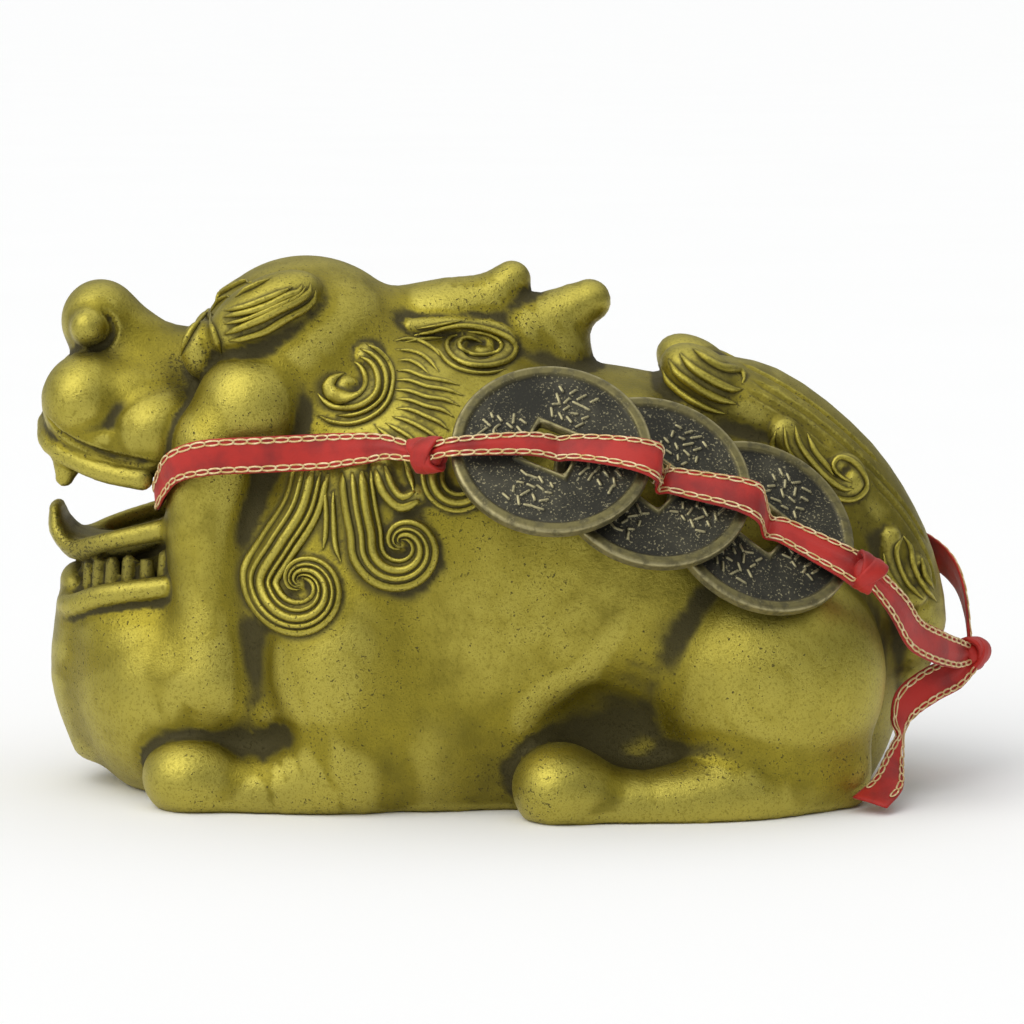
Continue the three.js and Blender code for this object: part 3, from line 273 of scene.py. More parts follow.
def layLock(lock):  # a limb along the side, sunk so that it stands proud by its rise
    line = lockLine(lock)
    feet = onSide(line[:, :2], bareField)
    out = unit(slopeOf(bareField, feet))
    sink = line[:, 2] - np.minimum(roll["rise"], line[:, 2] * roll["riseShare"])
    form = {"along": feet - out * sink[:, None], "radii": line[:, 2], "blend": roll["blend"]}
    return prepared(form, stepsPerPoint=2)


def makeTeeth():  # side by side along the curve of the lower lip, at even steps of its length
    row = smoothPath([(x + teeth["inset"], y) for x, y in teeth["row"]], 200)
    along = lengthAlong(row)
    share = np.linspace(0, 1, teeth["count"])
    x, y = sampled(row, along, share * along[-1]).T
    foot = teeth["rootUp"] + teeth["lipRise"] * share
    radii = (teeth["radius"], teeth["tipRadius"])
    return [{"along": ((a, b, c), (a, b, c + teeth["height"])), "radii": radii, "blend": teeth["blend"]}
            for a, b, c in zip(x, y, foot)]


# meshes from points and triangles

def fieldSurface(distance, low, high, spacing):  # where the distance is nought, from one half mirrored
    x = np.arange(low[0], high[0], spacing)
    y = np.arange(0, high[1], spacing)
    z = np.arange(low[2] - spacing * 1.5, high[2], spacing)
    grid = np.stack(np.meshgrid(x, y, z, indexing="ij"), axis=-1)
    half = np.concatenate([distance(slab.reshape(-1, 3)) for slab in grid]).reshape(grid.shape[:3])
    whole = np.concatenate([half[:, :0:-1], half], axis=1)
    volume = openvdb.FloatGrid(background=tracing["openAir"])
    volume.copyFromArray(whole.astype(np.float32))
    points, triangles, quads = volume.convertToPolygons(isovalue=0.0, adaptivity=0.0)
    points = points * spacing + (x[0], -y[-1], z[0])
    return points.astype(float), np.vstack([triangles, quads[:, [0, 1, 2]], quads[:, [0, 2, 3]]]).astype(int)


def edgesOf(triangles):  # each edge once, and the three edges of every triangle
    pairs = np.sort(triangles[:, [0, 1, 1, 2, 2, 0]].reshape(-1, 2), axis=1)
    keys, back = np.unique(pairs[:, 0] * (triangles.max() + 1) + pairs[:, 1], return_inverse=True)
    first = np.zeros(len(keys), int)
    first[back] = np.arange(len(pairs))
    return pairs[first], back.reshape(-1, 3)


def smoothed(values, triangles, rounds):  # each value moves to the mean of its neighbours' values
    (a, b), size = edgesOf(triangles)[0].T, len(values)
    count = np.bincount(np.concatenate([a, b]), minlength=size).astype(float)
    out = np.array(values, float)
    for _ in range(rounds):
        columns = out.reshape(size, -1).T
        total = np.stack([np.bincount(a, c[b], size) + np.bincount(b, c[a], size) for c in columns], axis=1)
        out = (total / count[:, None]).reshape(out.shape)
    return out


def settled(points, distance, leastSlope=0.25):  # points step along the slope onto the surface
    slope = slopeOf(distance, points)
    size = np.maximum((slope**2).sum(1), leastSlope)
    return points - slope * (distance(points) / size)[:, None]


def splitLong(points, triangles, longest):  # longer edges get a middle point, and triangles are split to suit
    pairs, edges = edgesOf(triangles)
    middles = points[pairs].mean(1)
    marked = np.linalg.norm(points[pairs[:, 0]] - points[pairs[:, 1]], axis=1) > longest(middles)
    numbers = np.full(len(pairs), -1)
    numbers[marked] = np.arange(marked.sum()) + len(points)
    m = numbers[edges]
    turn = np.array([0, 0, 1, 0, 2, 2, 1, 0])[(m >= 0) @ (1, 2, 4)]  # one or two marked edges come first
    rows = np.arange(len(triangles))[:, None]
    order = (np.arange(3) + turn[:, None]) % 3
    t, m = triangles[rows, order], m[rows, order]
    count = (m >= 0).sum(1)
    a, b, c = t.T
    ab, bc, ca = m.T
    cuts = {
        0: ((a, b, c),),
        1: ((a, ab, c), (ab, b, c)),
        2: ((ab, b, bc), (a, ab, bc), (a, bc, c)),
        3: ((a, ab, ca), (ab, b, bc), (ca, bc, c), (ab, bc, ca)),
    }
    parts = [np.stack(corners, axis=1)[count == marks] for marks, rule in cuts.items() for corners in rule]
    return np.vstack([points, middles[marked]]), np.vstack(parts)


def vertexNormals(points, triangles):  # the mean of the faces' normals around each point, by area
    corners = points[triangles]
    faces = np.cross(corners[:, 1] - corners[:, 0], corners[:, 2] - corners[:, 0])
    total = [np.bincount(triangles.ravel(), np.repeat(faces[:, n], 3), len(points)) for n in range(3)]
    return unit(np.stack(total, axis=1))


def gridQuads(rows, columns, closed):  # four-sided faces between neighbouring rows, each of them a closed ring
    i, j = np.meshgrid(np.arange(rows if closed else rows - 1), np.arange(columns), indexing="ij")
    i2, j2 = (i + 1) % rows, (j + 1) % columns
    corners = ((i, j), (i, j2), (i2, j2), (i2, j))
    return np.stack([a * columns + b for a, b in corners], axis=-1).reshape(-1, 4)


def loft(rings, closed=False):  # triangles between closed outlines, with the two ends filled by fans
    n, m = rings.shape[:2]
    quads = gridQuads(n, m, closed)
    faces = np.vstack([quads[:, [0, 1, 2]], quads[:, [0, 2, 3]]])
    points = rings.reshape(-1, 3)
    if not closed:
        ring = np.arange(m)
        after = (ring + 1) % m
        ends = np.stack([rings[0].mean(0), rings[-1].mean(0)])
        first = np.stack([np.full(m, n * m), after, ring], axis=1)
        last = np.stack([np.full(m, n * m + 1), ring + (n - 1) * m, after + (n - 1) * m], axis=1)
        points, faces = np.vstack([points, ends]), np.vstack([faces, first, last])
    return points, faces


def joined(parts):  # several point and face lists as one
    starts = np.cumsum([0] + [len(points) for points, _ in parts])
    return np.vstack([points for points, _ in parts]), np.vstack([f + s for (_, f), s in zip(parts, starts)])


def meshPiece(name, points, faces, material, slot, marks=()):  # its place is in its mesh
    mesh = bpy.data.meshes.new(name)
    mesh.vertices.add(len(points))
    mesh.vertices.foreach_set("co", (points * mm).astype(np.float32).ravel())
    mesh.loops.add(faces.size)
    mesh.loops.foreach_set("vertex_index", faces.astype(np.int32).ravel())
    mesh.polygons.add(len(faces))
    mesh.polygons.foreach_set("loop_start", np.arange(0, faces.size, faces.shape[1], dtype=np.int32))
    mesh.polygons.foreach_set("use_smooth", np.ones(len(faces), bool))
    for key, values in dict(marks).items():
        mesh.attributes.new(key, "FLOAT", "POINT").data.foreach_set("value", values.astype(np.float32))
    mesh.update(calc_edges=True)
    mesh.validate()
    mesh.materials.append(material)
    piece = bpy.data.objects.new(name, mesh)
    bpy.context.collection.objects.link(piece)
    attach(piece, "root")
    return piece


# fine carving: places (x, z) along each line on the near side, in mm

grooves = {
    "noseWing": {"width": 0.5, "height": -0.55, "lines": [
        [(-47.2, 57.4), (-46.1, 56.4), (-45.7, 54.9), (-46.4, 53.6), (-47.7, 52.9), (-49.6, 52.3)],
    ]},
    "lipLine": {"width": 0.45, "height": -0.5, "lines": [
        [(-53.5, 45), (-52.3, 43.6), (-50.2, 42.2), (-47.4, 41.1), (-44.3, 40.4), (-40.4, 39.9)],
    ]},
    "tailEdge": {"width": 0.5, "height": -0.3, "lines": [
        [(29.8, 49.4), (33.1, 47.5), (37, 44.9), (40.9, 41.7), (44.6, 38.2), (48.2, 34.1), (51.1, 29.6)],
        [(29.2, 48.3), (32.6, 46.4), (36.4, 44), (39.3, 41.4)],
        [(43.8, 37.9), (46.8, 34.6), (49.3, 31.1), (51.2, 27.5), (51.9, 24.3)],
        [(28.4, 51.1), (32.3, 49.3), (36.7, 46.6), (41.1, 43.1), (45.3, 39.1)],
    ]},
}
# half widths that several strands share
slim, plain, full = (0.15, 0.3, 0.33, 0.3, 0.15), (0.25, 0.42, 0.42, 0.25), (0.35, 0.6, 0.6, 0.3)
hair = {  # half widths from end to end, then places, of each raised strand
    "ear": {"height": 0.75, "lines": [
        ((0.3, 0.36, 0.42, 0.42, 0.42, 0.6, 0.95, 1.1, 0.9, 0.55, 0.28), [(-17, 52), (-16.2, 51.4),
         (-15.6, 50.4), (-15.5, 49.5), (-16.1, 48.6), (-17.1, 48.2), (-18.3, 48.1), (-19.5, 48.4),
         (-19.9, 49.3), (-19.2, 50.2), (-18.1, 50.7)]),
        ((0.3, 0.42, 0.42, 0.42, 0.3), [(-16.3, 52.6), (-15.1, 52), (-14.4, 51.1), (-14.1, 49.9),
         (-14.3, 48.8), (-15.1, 47.9), (-16.4, 47.2), (-17.8, 46.9), (-19.3, 46.9), (-20.4, 47.5),
         (-21.2, 48.4)]),
        ((0.25, 0.34, 0.34, 0.34, 0.25), [(-16.3, 53.5), (-14.9, 52.8), (-13.8, 51.7), (-13.3, 50.5),
         (-13.3, 49.2), (-13.7, 48.1), (-14.7, 47.1), (-15.9, 46.4), (-17.3, 46), (-18.9, 46)]),
        ((0.25, 0.34, 0.34, 0.34, 0.25), [(-15.6, 54), (-14.2, 53.1), (-13.1, 51.9), (-12.5, 50.5),
         (-12.5, 49.1), (-12.8, 47.9), (-13.6, 46.8), (-14.9, 45.9), (-16.4, 45.3), (-17.9, 45.1),
         (-19.7, 45.3), (-21.1, 45.9)]),
    ]},
    "maneUpper": {"height": 0.6, "lines": [
        ((0.25, 0.36, 0.42, 0.4, 0.36, 0.28), [(-10.1, 54.5), (-8.2, 54.9), (-6.2, 55.4), (-4.1, 55.6),
         (-1.9, 55.3), (0, 54.7), (1.4, 53.9), (1.9, 52.9), (1.3, 51.9), (-0.2, 51.5), (-2.3, 51.4),
         (-4.4, 51.8), (-5.8, 52.6), (-6.3, 53.5), (-5.8, 54.2), (-4.6, 54.6)]),
        ((0.25, 0.33, 0.33, 0.33, 0.25), [(-3.8, 54.9), (-2.1, 54.7), (-0.4, 54.1), (0.3, 53.3), (-0.2, 52.6),
         (-1.8, 52.3), (-3.5, 52.5), (-4.7, 53.3), (-4.8, 53.8), (-4.1, 54.2), (-2.9, 54), (-2, 53.5)]),
        ((0.2, 0.3, 0.3, 0.2), [(-8.2, 53.5), (-7.2, 52.9), (-6.3, 51.9), (-4.9, 51.1), (-3, 50.6),
         (-0.9, 50.5), (0.7, 50.9)]),
        ((0.2, 0.3, 0.2), [(-11.1, 53.9), (-9.4, 54), (-7.5, 54.1), (-6.4, 54.3)]),
        ((0.15, 0.22, 0.15), [(-9.8, 55.3), (-7.1, 55.7), (-4.5, 56.2)]),
    ]},
    "brow": {"height": 0.9, "lines": [
        ((0.3, 0.5, 0.5, 0.3), [(-32.2, 57.2), (-29.5, 57.8), (-27, 58.6), (-25, 59.6), (-23.4, 60.2),
         (-23, 61)]),
        (full, [(-32.1, 55.2), (-30, 56.1), (-27.7, 57.1), (-25.5, 58.2), (-23.6, 59.1), (-22.2, 60.1),
         (-22.1, 61)]),
        ((0.3, 0.42, 0.42, 0.25), [(-32.1, 57.9), (-30, 58.3), (-27.3, 59.3), (-25.3, 60.1), (-24.2, 60.7)]),
        ((0.3, 0.55, 0.55, 0.3), [(-31.6, 54.4), (-29.5, 54.9), (-27.3, 55.6), (-25.6, 56.6), (-24.2, 57.4),
         (-22.7, 58.2), (-21.7, 59.2), (-21.5, 60.2)]),
        ((0.25, 0.38, 0.25), [(-32.1, 56.4), (-29.9, 56.9), (-27.4, 57.9), (-25.2, 58.9), (-23.3, 59.8),
         (-22.6, 60.7)]),
        ((0.15, 0.28, 0.15), [(-30.9, 59.4), (-29.6, 60.2), (-28.3, 60.8), (-26.8, 61.6)]),
        ((0.15, 0.22, 0.15), [(-34.4, 57), (-33.4, 58.2), (-31.7, 59.3)]),
        ((0.15, 0.26, 0.15), [(-34, 57.6), (-33.4, 58.8), (-32.2, 59.6), (-30.8, 60.4), (-29, 61.1)]),
    ]},
    "lids": {"height": 0.8, "lines": [
        ((0.2, 0.4, 0.5, 0.3), [(-34.7, 56.9), (-35.8, 55.8), (-36.8, 54.2), (-37.5, 52.4)]),
        ((0.2, 0.45, 0.5, 0.25), [(-34.3, 56.9), (-33.4, 55.6), (-32.9, 54.2), (-32.6, 52.8)]),
    ]},
    "tailUpper": {"height": 0.95, "lines": [
        ((0.3, 0.5, 0.5, 0.25), [(19.2, 50.6), (19.7, 49.6), (20.9, 48.4), (22.6, 47.2), (24.6, 46.2),
         (26.6, 45.6)]),
        (full, [(19.9, 51.8), (20.9, 50.4), (22.5, 49.2), (24.4, 48), (26.2, 47.2), (27.8, 46.8)]),
        (full, [(21.2, 52.6), (22.4, 51.2), (24, 50.1), (25.8, 49.1), (27.4, 48.4), (28.6, 48.4)]),
        ((0.35, 0.6, 0.7, 0.5, 0.3), [(22.8, 53.1), (24.2, 52), (26, 51), (27.8, 50.5), (28.9, 49.8),
         (28.6, 49)]),
    ]},
    "neck": {"height": 0.5, "lines": [
        (slim, [(-12.3, 54.1), (-11, 54.2), (-9.4, 53.9), (-7.6, 53), (-6.6, 52.1)]),
        (slim, [(-12.2, 53.1), (-10.8, 53), (-9.2, 52.6), (-7.9, 51.7), (-7.1, 50.8)]),
        (slim, [(-12, 52), (-10.6, 52), (-9.2, 51.4), (-8.2, 50.6)]),
        (slim, [(-12.1, 51), (-10.6, 50.9), (-8.8, 50.3), (-6.6, 49.9), (-4.6, 49.4)]),
        (slim, [(-12.2, 50), (-10.4, 49.9), (-8.4, 49.3), (-6.4, 49), (-4.2, 48.3)]),
        (slim, [(-12.3, 49), (-10.4, 48.8), (-8.4, 48.2), (-6.4, 47.9), (-4.6, 47.2)]),
        (slim, [(-12.1, 48), (-10.2, 47.8), (-8.4, 47.2), (-6.6, 46.8), (-5.2, 46)]),
        (slim, [(-12, 47), (-10.2, 46.8), (-8.4, 46.1), (-6.8, 45.4), (-5.8, 44.6)]),
        (slim, [(-12.4, 46.1), (-10.8, 45.7), (-9.2, 45), (-7.8, 44.2), (-6.6, 43.4)]),
        (slim, [(-13.2, 45.4), (-11.8, 44.7), (-10.4, 43.9), (-9.2, 43)]),
        (slim, [(-14.4, 45.1), (-13.2, 44.2), (-12, 43.4), (-11, 42.7)]),
        ((0.15, 0.3, 0.3, 0.15), [(-15.4, 44.3), (-14.4, 43.4), (-13.4, 42.7)]),
    ]},
    "maneStems": {"height": 0.6, "lines": [
        ((0.25, 0.4, 0.4, 0.2), [(-20.2, 38.2), (-20, 35), (-20.1, 32.4), (-20.4, 30.8)]),
        ((0.25, 0.4, 0.4, 0.2), [(-19.2, 37.6), (-19.1, 34), (-18.9, 31.4), (-18.2, 29.4)]),
        ((0.3, 0.45, 0.4, 0.2), [(-11, 41.4), (-10.1, 39), (-9.8, 37.8)]),
    ]},
    "tailMiddle": {"height": 0.75, "lines": [
        (plain, [(32.4, 43.7), (32.1, 41.9), (33, 40.3), (34.4, 38.7)]),
        (plain, [(33.4, 44.2), (33.8, 41.8), (35.6, 39.3), (38, 37.2), (39.9, 35.8), (41.9, 35.7),
         (43.1, 36.8), (42.6, 38.8), (41.3, 40.1), (39.9, 40.5), (39.2, 39.6), (40.2, 38.2), (41.4, 37.7)]),
        (plain, [(34.7, 44.3), (35, 42.5), (36.6, 40.1), (38.7, 37.9), (40.4, 36.9), (41.6, 36.9)]),
        (plain, [(36.2, 43.3), (36.8, 41.5), (38.3, 39.6), (39.3, 38.4)]),
    ]},
    "tailLower": {"height": 0.7, "lines": [
        (plain, [(45.2, 29.2), (45.7, 27), (47, 25), (48.4, 23.5)]),
        (plain, [(47.7, 31), (46.7, 29.9), (47, 27.7), (48.4, 25.1), (50.1, 23.6)]),
        (plain, [(47.7, 31), (48.5, 29.6), (48.9, 27.3), (50.4, 24.6), (52, 22.8)]),
        (plain, [(49.9, 28.6), (50.3, 26.4), (51.6, 24.4)]),
    ]},
}
strandShares = {  # how a lock's width is shared out between its strands
    "maneFront": (1.2, 0.7, 1.15, 0.6, 1), "maneRear": (1.25, 0.7, 1, 0.65),
    "maneMiddle": (1, 0.8), "maneUnderCoin": (0.8, 1.1, 0.7),
}
strand = {
    "samples": 12, "spacing": 0.45, "taperPoints": 3, "leastEnd": 0.15, "fill": 0.9, "lockHeight": 0.7,
    "sides": 9, "rise": 0.6, "sunkShare": 0.5, "shadeReach": 3.2,
    "hollow": 0.06, "darkBelow": 0.55, "darkFade": 0.6, "wornAbove": 0.6, "wornFade": 0.4,
}
groove = {"reach": 1.3, "lip": 1.15, "roundness": 0.8}


def lockStrands(lock, shares):  # lines beside a lock's own line, each as wide as its share allows
    line = lockLine(lock)
    run = np.gradient(line[:, :2], axis=0)
    side = unit(np.stack([-run[:, 1], run[:, 0]], axis=1))
    shares = np.array(shares) / sum(shares)
    middles = 2 * np.cumsum(shares) - shares - 1
    return [(line[:, :2] + side * (line[:, 2] * m)[:, None], line[:, 2] * s) for m, s in zip(middles, shares)]


def evenly(path, widths):  # a smooth line through places, cut into even steps, with its half width at each
    fine = smoothPath(path, len(path) * strand["samples"])
    along = lengthAlong(fine)
    at = np.linspace(0, along[-1], max(int(along[-1] / strand["spacing"]), 4))
    return sampled(np.column_stack([fine, spreadOut(widths, len(fine))]), along, at)


def laid(lines):  # points on the side along each line, with half widths and heights that thin out at its ends
    flat = [evenly(line, widths) for line, widths, _ in lines]
    feet = np.split(onSide(np.vstack(flat)[:, :2], field), np.cumsum([len(places) for places in flat])[:-1])
    strokes = []
    for on, places, (_, _, height) in zip(feet, flat, lines):
        share = np.linspace(0, 1, len(places))
        ends = np.minimum(share, 1 - share) * len(places) / strand["taperPoints"]
        ends = np.clip(ends, strand["leastEnd"], 1)
        strokes.append((on, places[:, 2] * ends**0.5, height * ends))
    return strokes


def allStrands():  # the drawn ones, and the ones that fill each lock
    lines = [(line, widths, group["height"]) for group in hair.values() for widths, line in group["lines"]]
    for name, shares in strandShares.items():
        beside = lockStrands(locks[name], shares)
        lines += [(line, wide * strand["fill"], strand["lockHeight"]) for line, wide in beside]
    return laid(lines)


def nearStrokes(points, strokes, beyond):  # points near each, how many half widths away, and its height
    q = folded(points)
    for feet, wide, high in strokes:
        reach = wide.max() * beyond
        near = np.nonzero(((q > feet.min(0) - reach) & (q < feet.max(0) + reach)).all(1))[0]
        if not len(near):
            continue
        start, step = feet[:-1], np.diff(feet, axis=0)
        away = q[near][:, None] - start
        share = np.clip((away * step).sum(2) / (step**2).sum(1), 0, 1)
        d = np.linalg.norm(away - share[:, :, None] * step, axis=2)
        k = d.argmin(1)
        rows = np.arange(len(near))
        s, d = share[rows, k], d[rows, k]
        yield near, d / (wide[k] + s * (wide[k + 1] - wide[k])), high[k] + s * (high[k + 1] - high[k])


def grooveDepth(points, strokes):  # a rounded hollow over each groove's half width, a little widened
    depth = np.zeros(len(points))
    for near, ratio, high in nearStrokes(points, strokes, groove["reach"]):
        hollow = np.maximum(1 - (ratio / groove["lip"]) ** 2, 0) ** groove["roundness"]
        depth[near] = np.minimum(depth[near], high * hollow)
    return depth


def shadeBeside(points, strokes):  # one on and beside the strands, falling to nought a little way off
    shade, beyond = np.zeros(len(points)), strand["shadeReach"]
    for near, ratio, _ in nearStrokes(points, strokes, beyond):
        shade[near] = np.maximum(shade[near], np.clip((beyond - ratio) / (beyond - 1), 0, 1))
    return shade


def strandRings(feet, out, wide, high):  # rings of a rounded strand, half sunk, and each point's rise
    run = unit(np.gradient(feet, axis=0))
    out = unit(out - (out * run).sum(1)[:, None] * run)
    across = np.cross(out, run)
    angle = np.linspace(0, fullTurn, strand["sides"], endpoint=False) + math.pi / 2
    lift = np.sin(angle) * np.where(np.sin(angle) > 0, 1, strand["sunkShare"])
    rings = feet[:, None] + across[:, None] * (np.cos(angle) * wide[:, None])[:, :, None]
    rings = rings + out[:, None] * (lift * high[:, None])[:, :, None]
    return rings, np.broadcast_to(np.sin(angle), rings.shape[:2])


# finishes

def fill(node, inputs):  # each input is linked to a socket, or set to a plain value
    for key, value in inputs.items():
        if isinstance(value, bpy.types.NodeSocket):
            node.id_data.links.new(value, node.inputs[key])
        else:
            node.inputs[key].default_value = value


def adder(tree):  # a short way to add a node with its settings and inputs
    def add(kind, inputs=(), **settings):
        made = tree.nodes.new(kind)
        for key, value in settings.items():
            setattr(made, key, value)
        fill(made, dict(inputs))
        return made
    return add


def newFinish(name):  # a material, its shader, its way to add nodes, and places on the piece
    material = bpy.data.materials.new(name)
    material.use_nodes = True
    add = adder(material.node_tree)
    place = add("ShaderNodeTexCoord").outputs["Object"]
    return material, material.node_tree.nodes["Principled BSDF"], add, place


def ramp(add, value, low, high, toLow=0.0, toHigh=1.0):  # eases a value from one range into another
    inputs = {"Value": value, "From Min": low, "From Max": high, "To Min": toLow, "To Max": toHigh}
    return add("ShaderNodeMapRange", inputs, interpolation_type="SMOOTHSTEP").outputs["Result"]


# sums, products and the greater of two values

def plus(add, a, b):
    return add("ShaderNodeMath", {0: a, 1: b}, operation="ADD").outputs[0]


def times(add, a, b):
    return add("ShaderNodeMath", {0: a, 1: b}, operation="MULTIPLY").outputs[0]


def greater(add, a, b):
    return add("ShaderNodeMath", {0: a, 1: b}, operation="MAXIMUM").outputs[0]


def mixed(add, share, *colours):  # from the first colour at nought to the second at one
    colours = [(*c, 1) if isinstance(c, tuple) else c for c in colours]
    return add("ShaderNodeMix", {"Factor": share, 6: colours[0], 7: colours[1]}, data_type="RGBA").outputs[2]


def noise(add, place, scale, detail=3.0, roughness=0.55):  # scale is in bumps per metre
    inputs = {"Vector": place, "Scale": scale, "Detail": detail, "Roughness": roughness}
    return add("ShaderNodeTexNoise", inputs).outputs["Fac"]


def markOf(add, name):  # a number that the mesh holds at each point
    return add("ShaderNodeAttribute", attribute_name=name).outputs["Fac"]


def bump(add, height, distance, strength):  # the distance is in metres
    inputs = {"Height": height, "Distance": distance, "Strength": strength}
    return add("ShaderNodeBump", inputs).outputs["Normal"]


brass = {
    "worn": (0.50, 0.43, 0.085),
    "plain": (0.33, 0.272, 0.032),
    "dull": (0.185, 0.155, 0.022),
    "dark": (0.045, 0.037, 0.012),
    "roughness": (0.38, 0.62),
    "cloud": 60, "patch": 240, "grain": 2600, "fine": 6000,  # bumps per metre
    "deepest": 0.6, "creaseDark": 0.92, "wornBright": 0.85,
    "pitRoom": 0.07, "pitDark": 0.8,
    "bump": 0.00009,
}


def brassFinish():  # worn yellow on its highs, olive and brown in its hollows as patina and painted shade, with sandy grain and dark pits
    material, shader, add, place = newFinish("aged_brass")
    hollow, crease, worn = [markOf(add, name) for name in ("hollow", "crease", "worn")]
    cloud = noise(add, place, brass["cloud"], 3)
    patch = noise(add, place, brass["patch"], 4)
    grain = noise(add, place, brass["grain"], 3, 0.7)
    fine = noise(add, place, brass["fine"], 2)
    tone = mixed(add, ramp(add, cloud, 0.32, 0.7), brass["dull"], brass["plain"])
    tone = mixed(add, ramp(add, patch, 0.25, 0.75), tone, brass["plain"])
    # rubbed: worn colour away from the hollows, the lit side of the painted shade, with real wear on the convex
    # highs
    rubbed = times(add, ramp(add, hollow, 0.0, 0.12, 0.75, 0), ramp(add, patch, 0.3, 0.65, 0.3, 1))
    rubbed = greater(add, rubbed, ramp(add, worn, 0.1, 0.8, 0, brass["wornBright"]))
    tone = mixed(add, rubbed, tone, brass["worn"])
    tone = mixed(add, ramp(add, grain, 0.34, 0.5, 0.5, 0), tone, brass["dull"])
    # deep: painted shade with patina in the hollows, low down near the floor, in creases and beside the strands
    deep = ramp(add, plus(add, hollow, times(add, grain, 0.25)), 0.22, 1.0, 0, brass["deepest"])
    deep = greater(add, deep, ramp(add, crease, 0.15, 0.95, 0, brass["creaseDark"]))
    room = plus(add, times(add, hollow, 0.2), ramp(add, cloud, 0.42, 0.62, 0, brass["pitRoom"]))
    pits = ramp(add, plus(add, grain, room), 0.68, 0.74)
    # dark: the painted shade of deep, together with the casting's real dark pits
    dark = greater(add, deep, times(add, pits, brass["pitDark"]))
    height = plus(add, times(add, grain, 0.8), times(add, pits, -0.7))
    height = plus(add, height, plus(add, times(add, patch, 1.2), times(add, fine, 0.3)))
    fill(shader, {
        "Base Color": mixed(add, dark, tone, brass["dark"]),
        "Metallic": add("ShaderNodeMath", {0: 1.0, 1: times(add, dark, 0.5)}, operation="SUBTRACT").outputs[0],
        "Roughness": plus(add, times(add, fine, 0.14), ramp(add, dark, 0, 1, *brass["roughness"])),
        "Normal": bump(add, height, brass["bump"], 1.0),
    })
    return material


# the casting

figure = {
    "low": (-58.5, 0, 0), "high": (57, 35, 66), "spacing": 0.9,
    "grooveEdge": 0.3, "hairEdge": 0.55, "faceEdge": 0.62, "bodyEdge": 1.1, "slack": 1.3,
    "grooveReach": 0.75, "hairReach": 1.2, "cell": 0.7,
    "face": {"before": -33, "above": 20}, "crown": 60,
    "hollowRadii": (0.7, 1.8, 4.5), "hollowRounds": 14, "footShade": 0.12, "footHeight": 9,
    "creaseBend": 0.16, "wornBend": 0.12, "besideHair": 0.8,
    "dirt": (((-5, 3), (9, 6), 0.22), ((-27, 1), (6, 3), 0.22), ((14, 1), (8, 3), 0.12),
             ((-42, 3), (6, 5), 0.12)),
}
bodyParts = [prepared(form) for form in castForms.values()]
toothParts = [prepared(form) for form in makeTeeth()]
lockParts = [layLock(lock) for lock in locks.values()]
laidGrooves = laid([(line, [group["width"]], group["height"])
                    for group in grooves.values() for line in group["lines"]])
laidStrands = allStrands()
print("grooves and strands laid:", len(laidGrooves), len(laidStrands))


def cellKeys(cells):  # one whole number for each cell of a cubic grid
    return (cells + 200) @ (1, 1000, 1000000)


def cellsNear(strokes, reach):  # the cells around strokes, to ask later which places are near them
    cell = figure["cell"]
    spread = np.arange(-math.ceil(reach / cell), math.ceil(reach / cell) + 1)
    moves = np.stack(np.meshgrid(spread, spread, spread), axis=-1).reshape(-1, 3)
    moves = moves[(moves**2).sum(1) * cell**2 <= reach**2 + cell**2]
    feet = np.vstack([feet for feet, _, _ in strokes])
    return np.unique(cellKeys((np.floor(feet / cell).astype(int)[:, None] + moves).reshape(-1, 3)))


grooveCells = cellsNear(laidGrooves, figure["grooveReach"])
hairCells = cellsNear(laidStrands, figure["hairReach"])


def longestEdge(p):  # short along the grooves, middling under the hair and on the face, long on the body
    cells = cellKeys(np.floor(folded(p) / figure["cell"]).astype(int))
    face = (p[:, 0] < figure["face"]["before"]) & (p[:, 2] > figure["face"]["above"])
    face |= p[:, 2] > figure["crown"]
    limit = np.where(face, figure["faceEdge"], figure["bodyEdge"])
    limit = np.where(np.isin(cells, hairCells), np.minimum(limit, figure["hairEdge"]), limit)
    return np.where(np.isin(cells, grooveCells), figure["grooveEdge"], limit) * figure["slack"]


def hollowness(points, normals, triangles):  # how much nearer the casting is, along normals, than in the open, and how near the floor: painted shade in hollows and low down
    hollow = figure["footShade"] * np.clip(1 - points[:, 2] / figure["footHeight"], 0, 1)
    for radius in figure["hollowRadii"]:
        closed = (radius - field(points + normals * radius)) / radius
        hollow += np.clip(closed, 0, 1) / len(figure["hollowRadii"])
    hollow = smoothed(hollow, triangles, figure["hollowRounds"])
    for (x, z), (wide, high), much in figure["dirt"]:  # soft darker patches low on the sides
        hollow += much * np.exp(-((points[:, 0] - x) / wide) ** 2 - ((points[:, 2] - z) / high) ** 2)
    return hollow


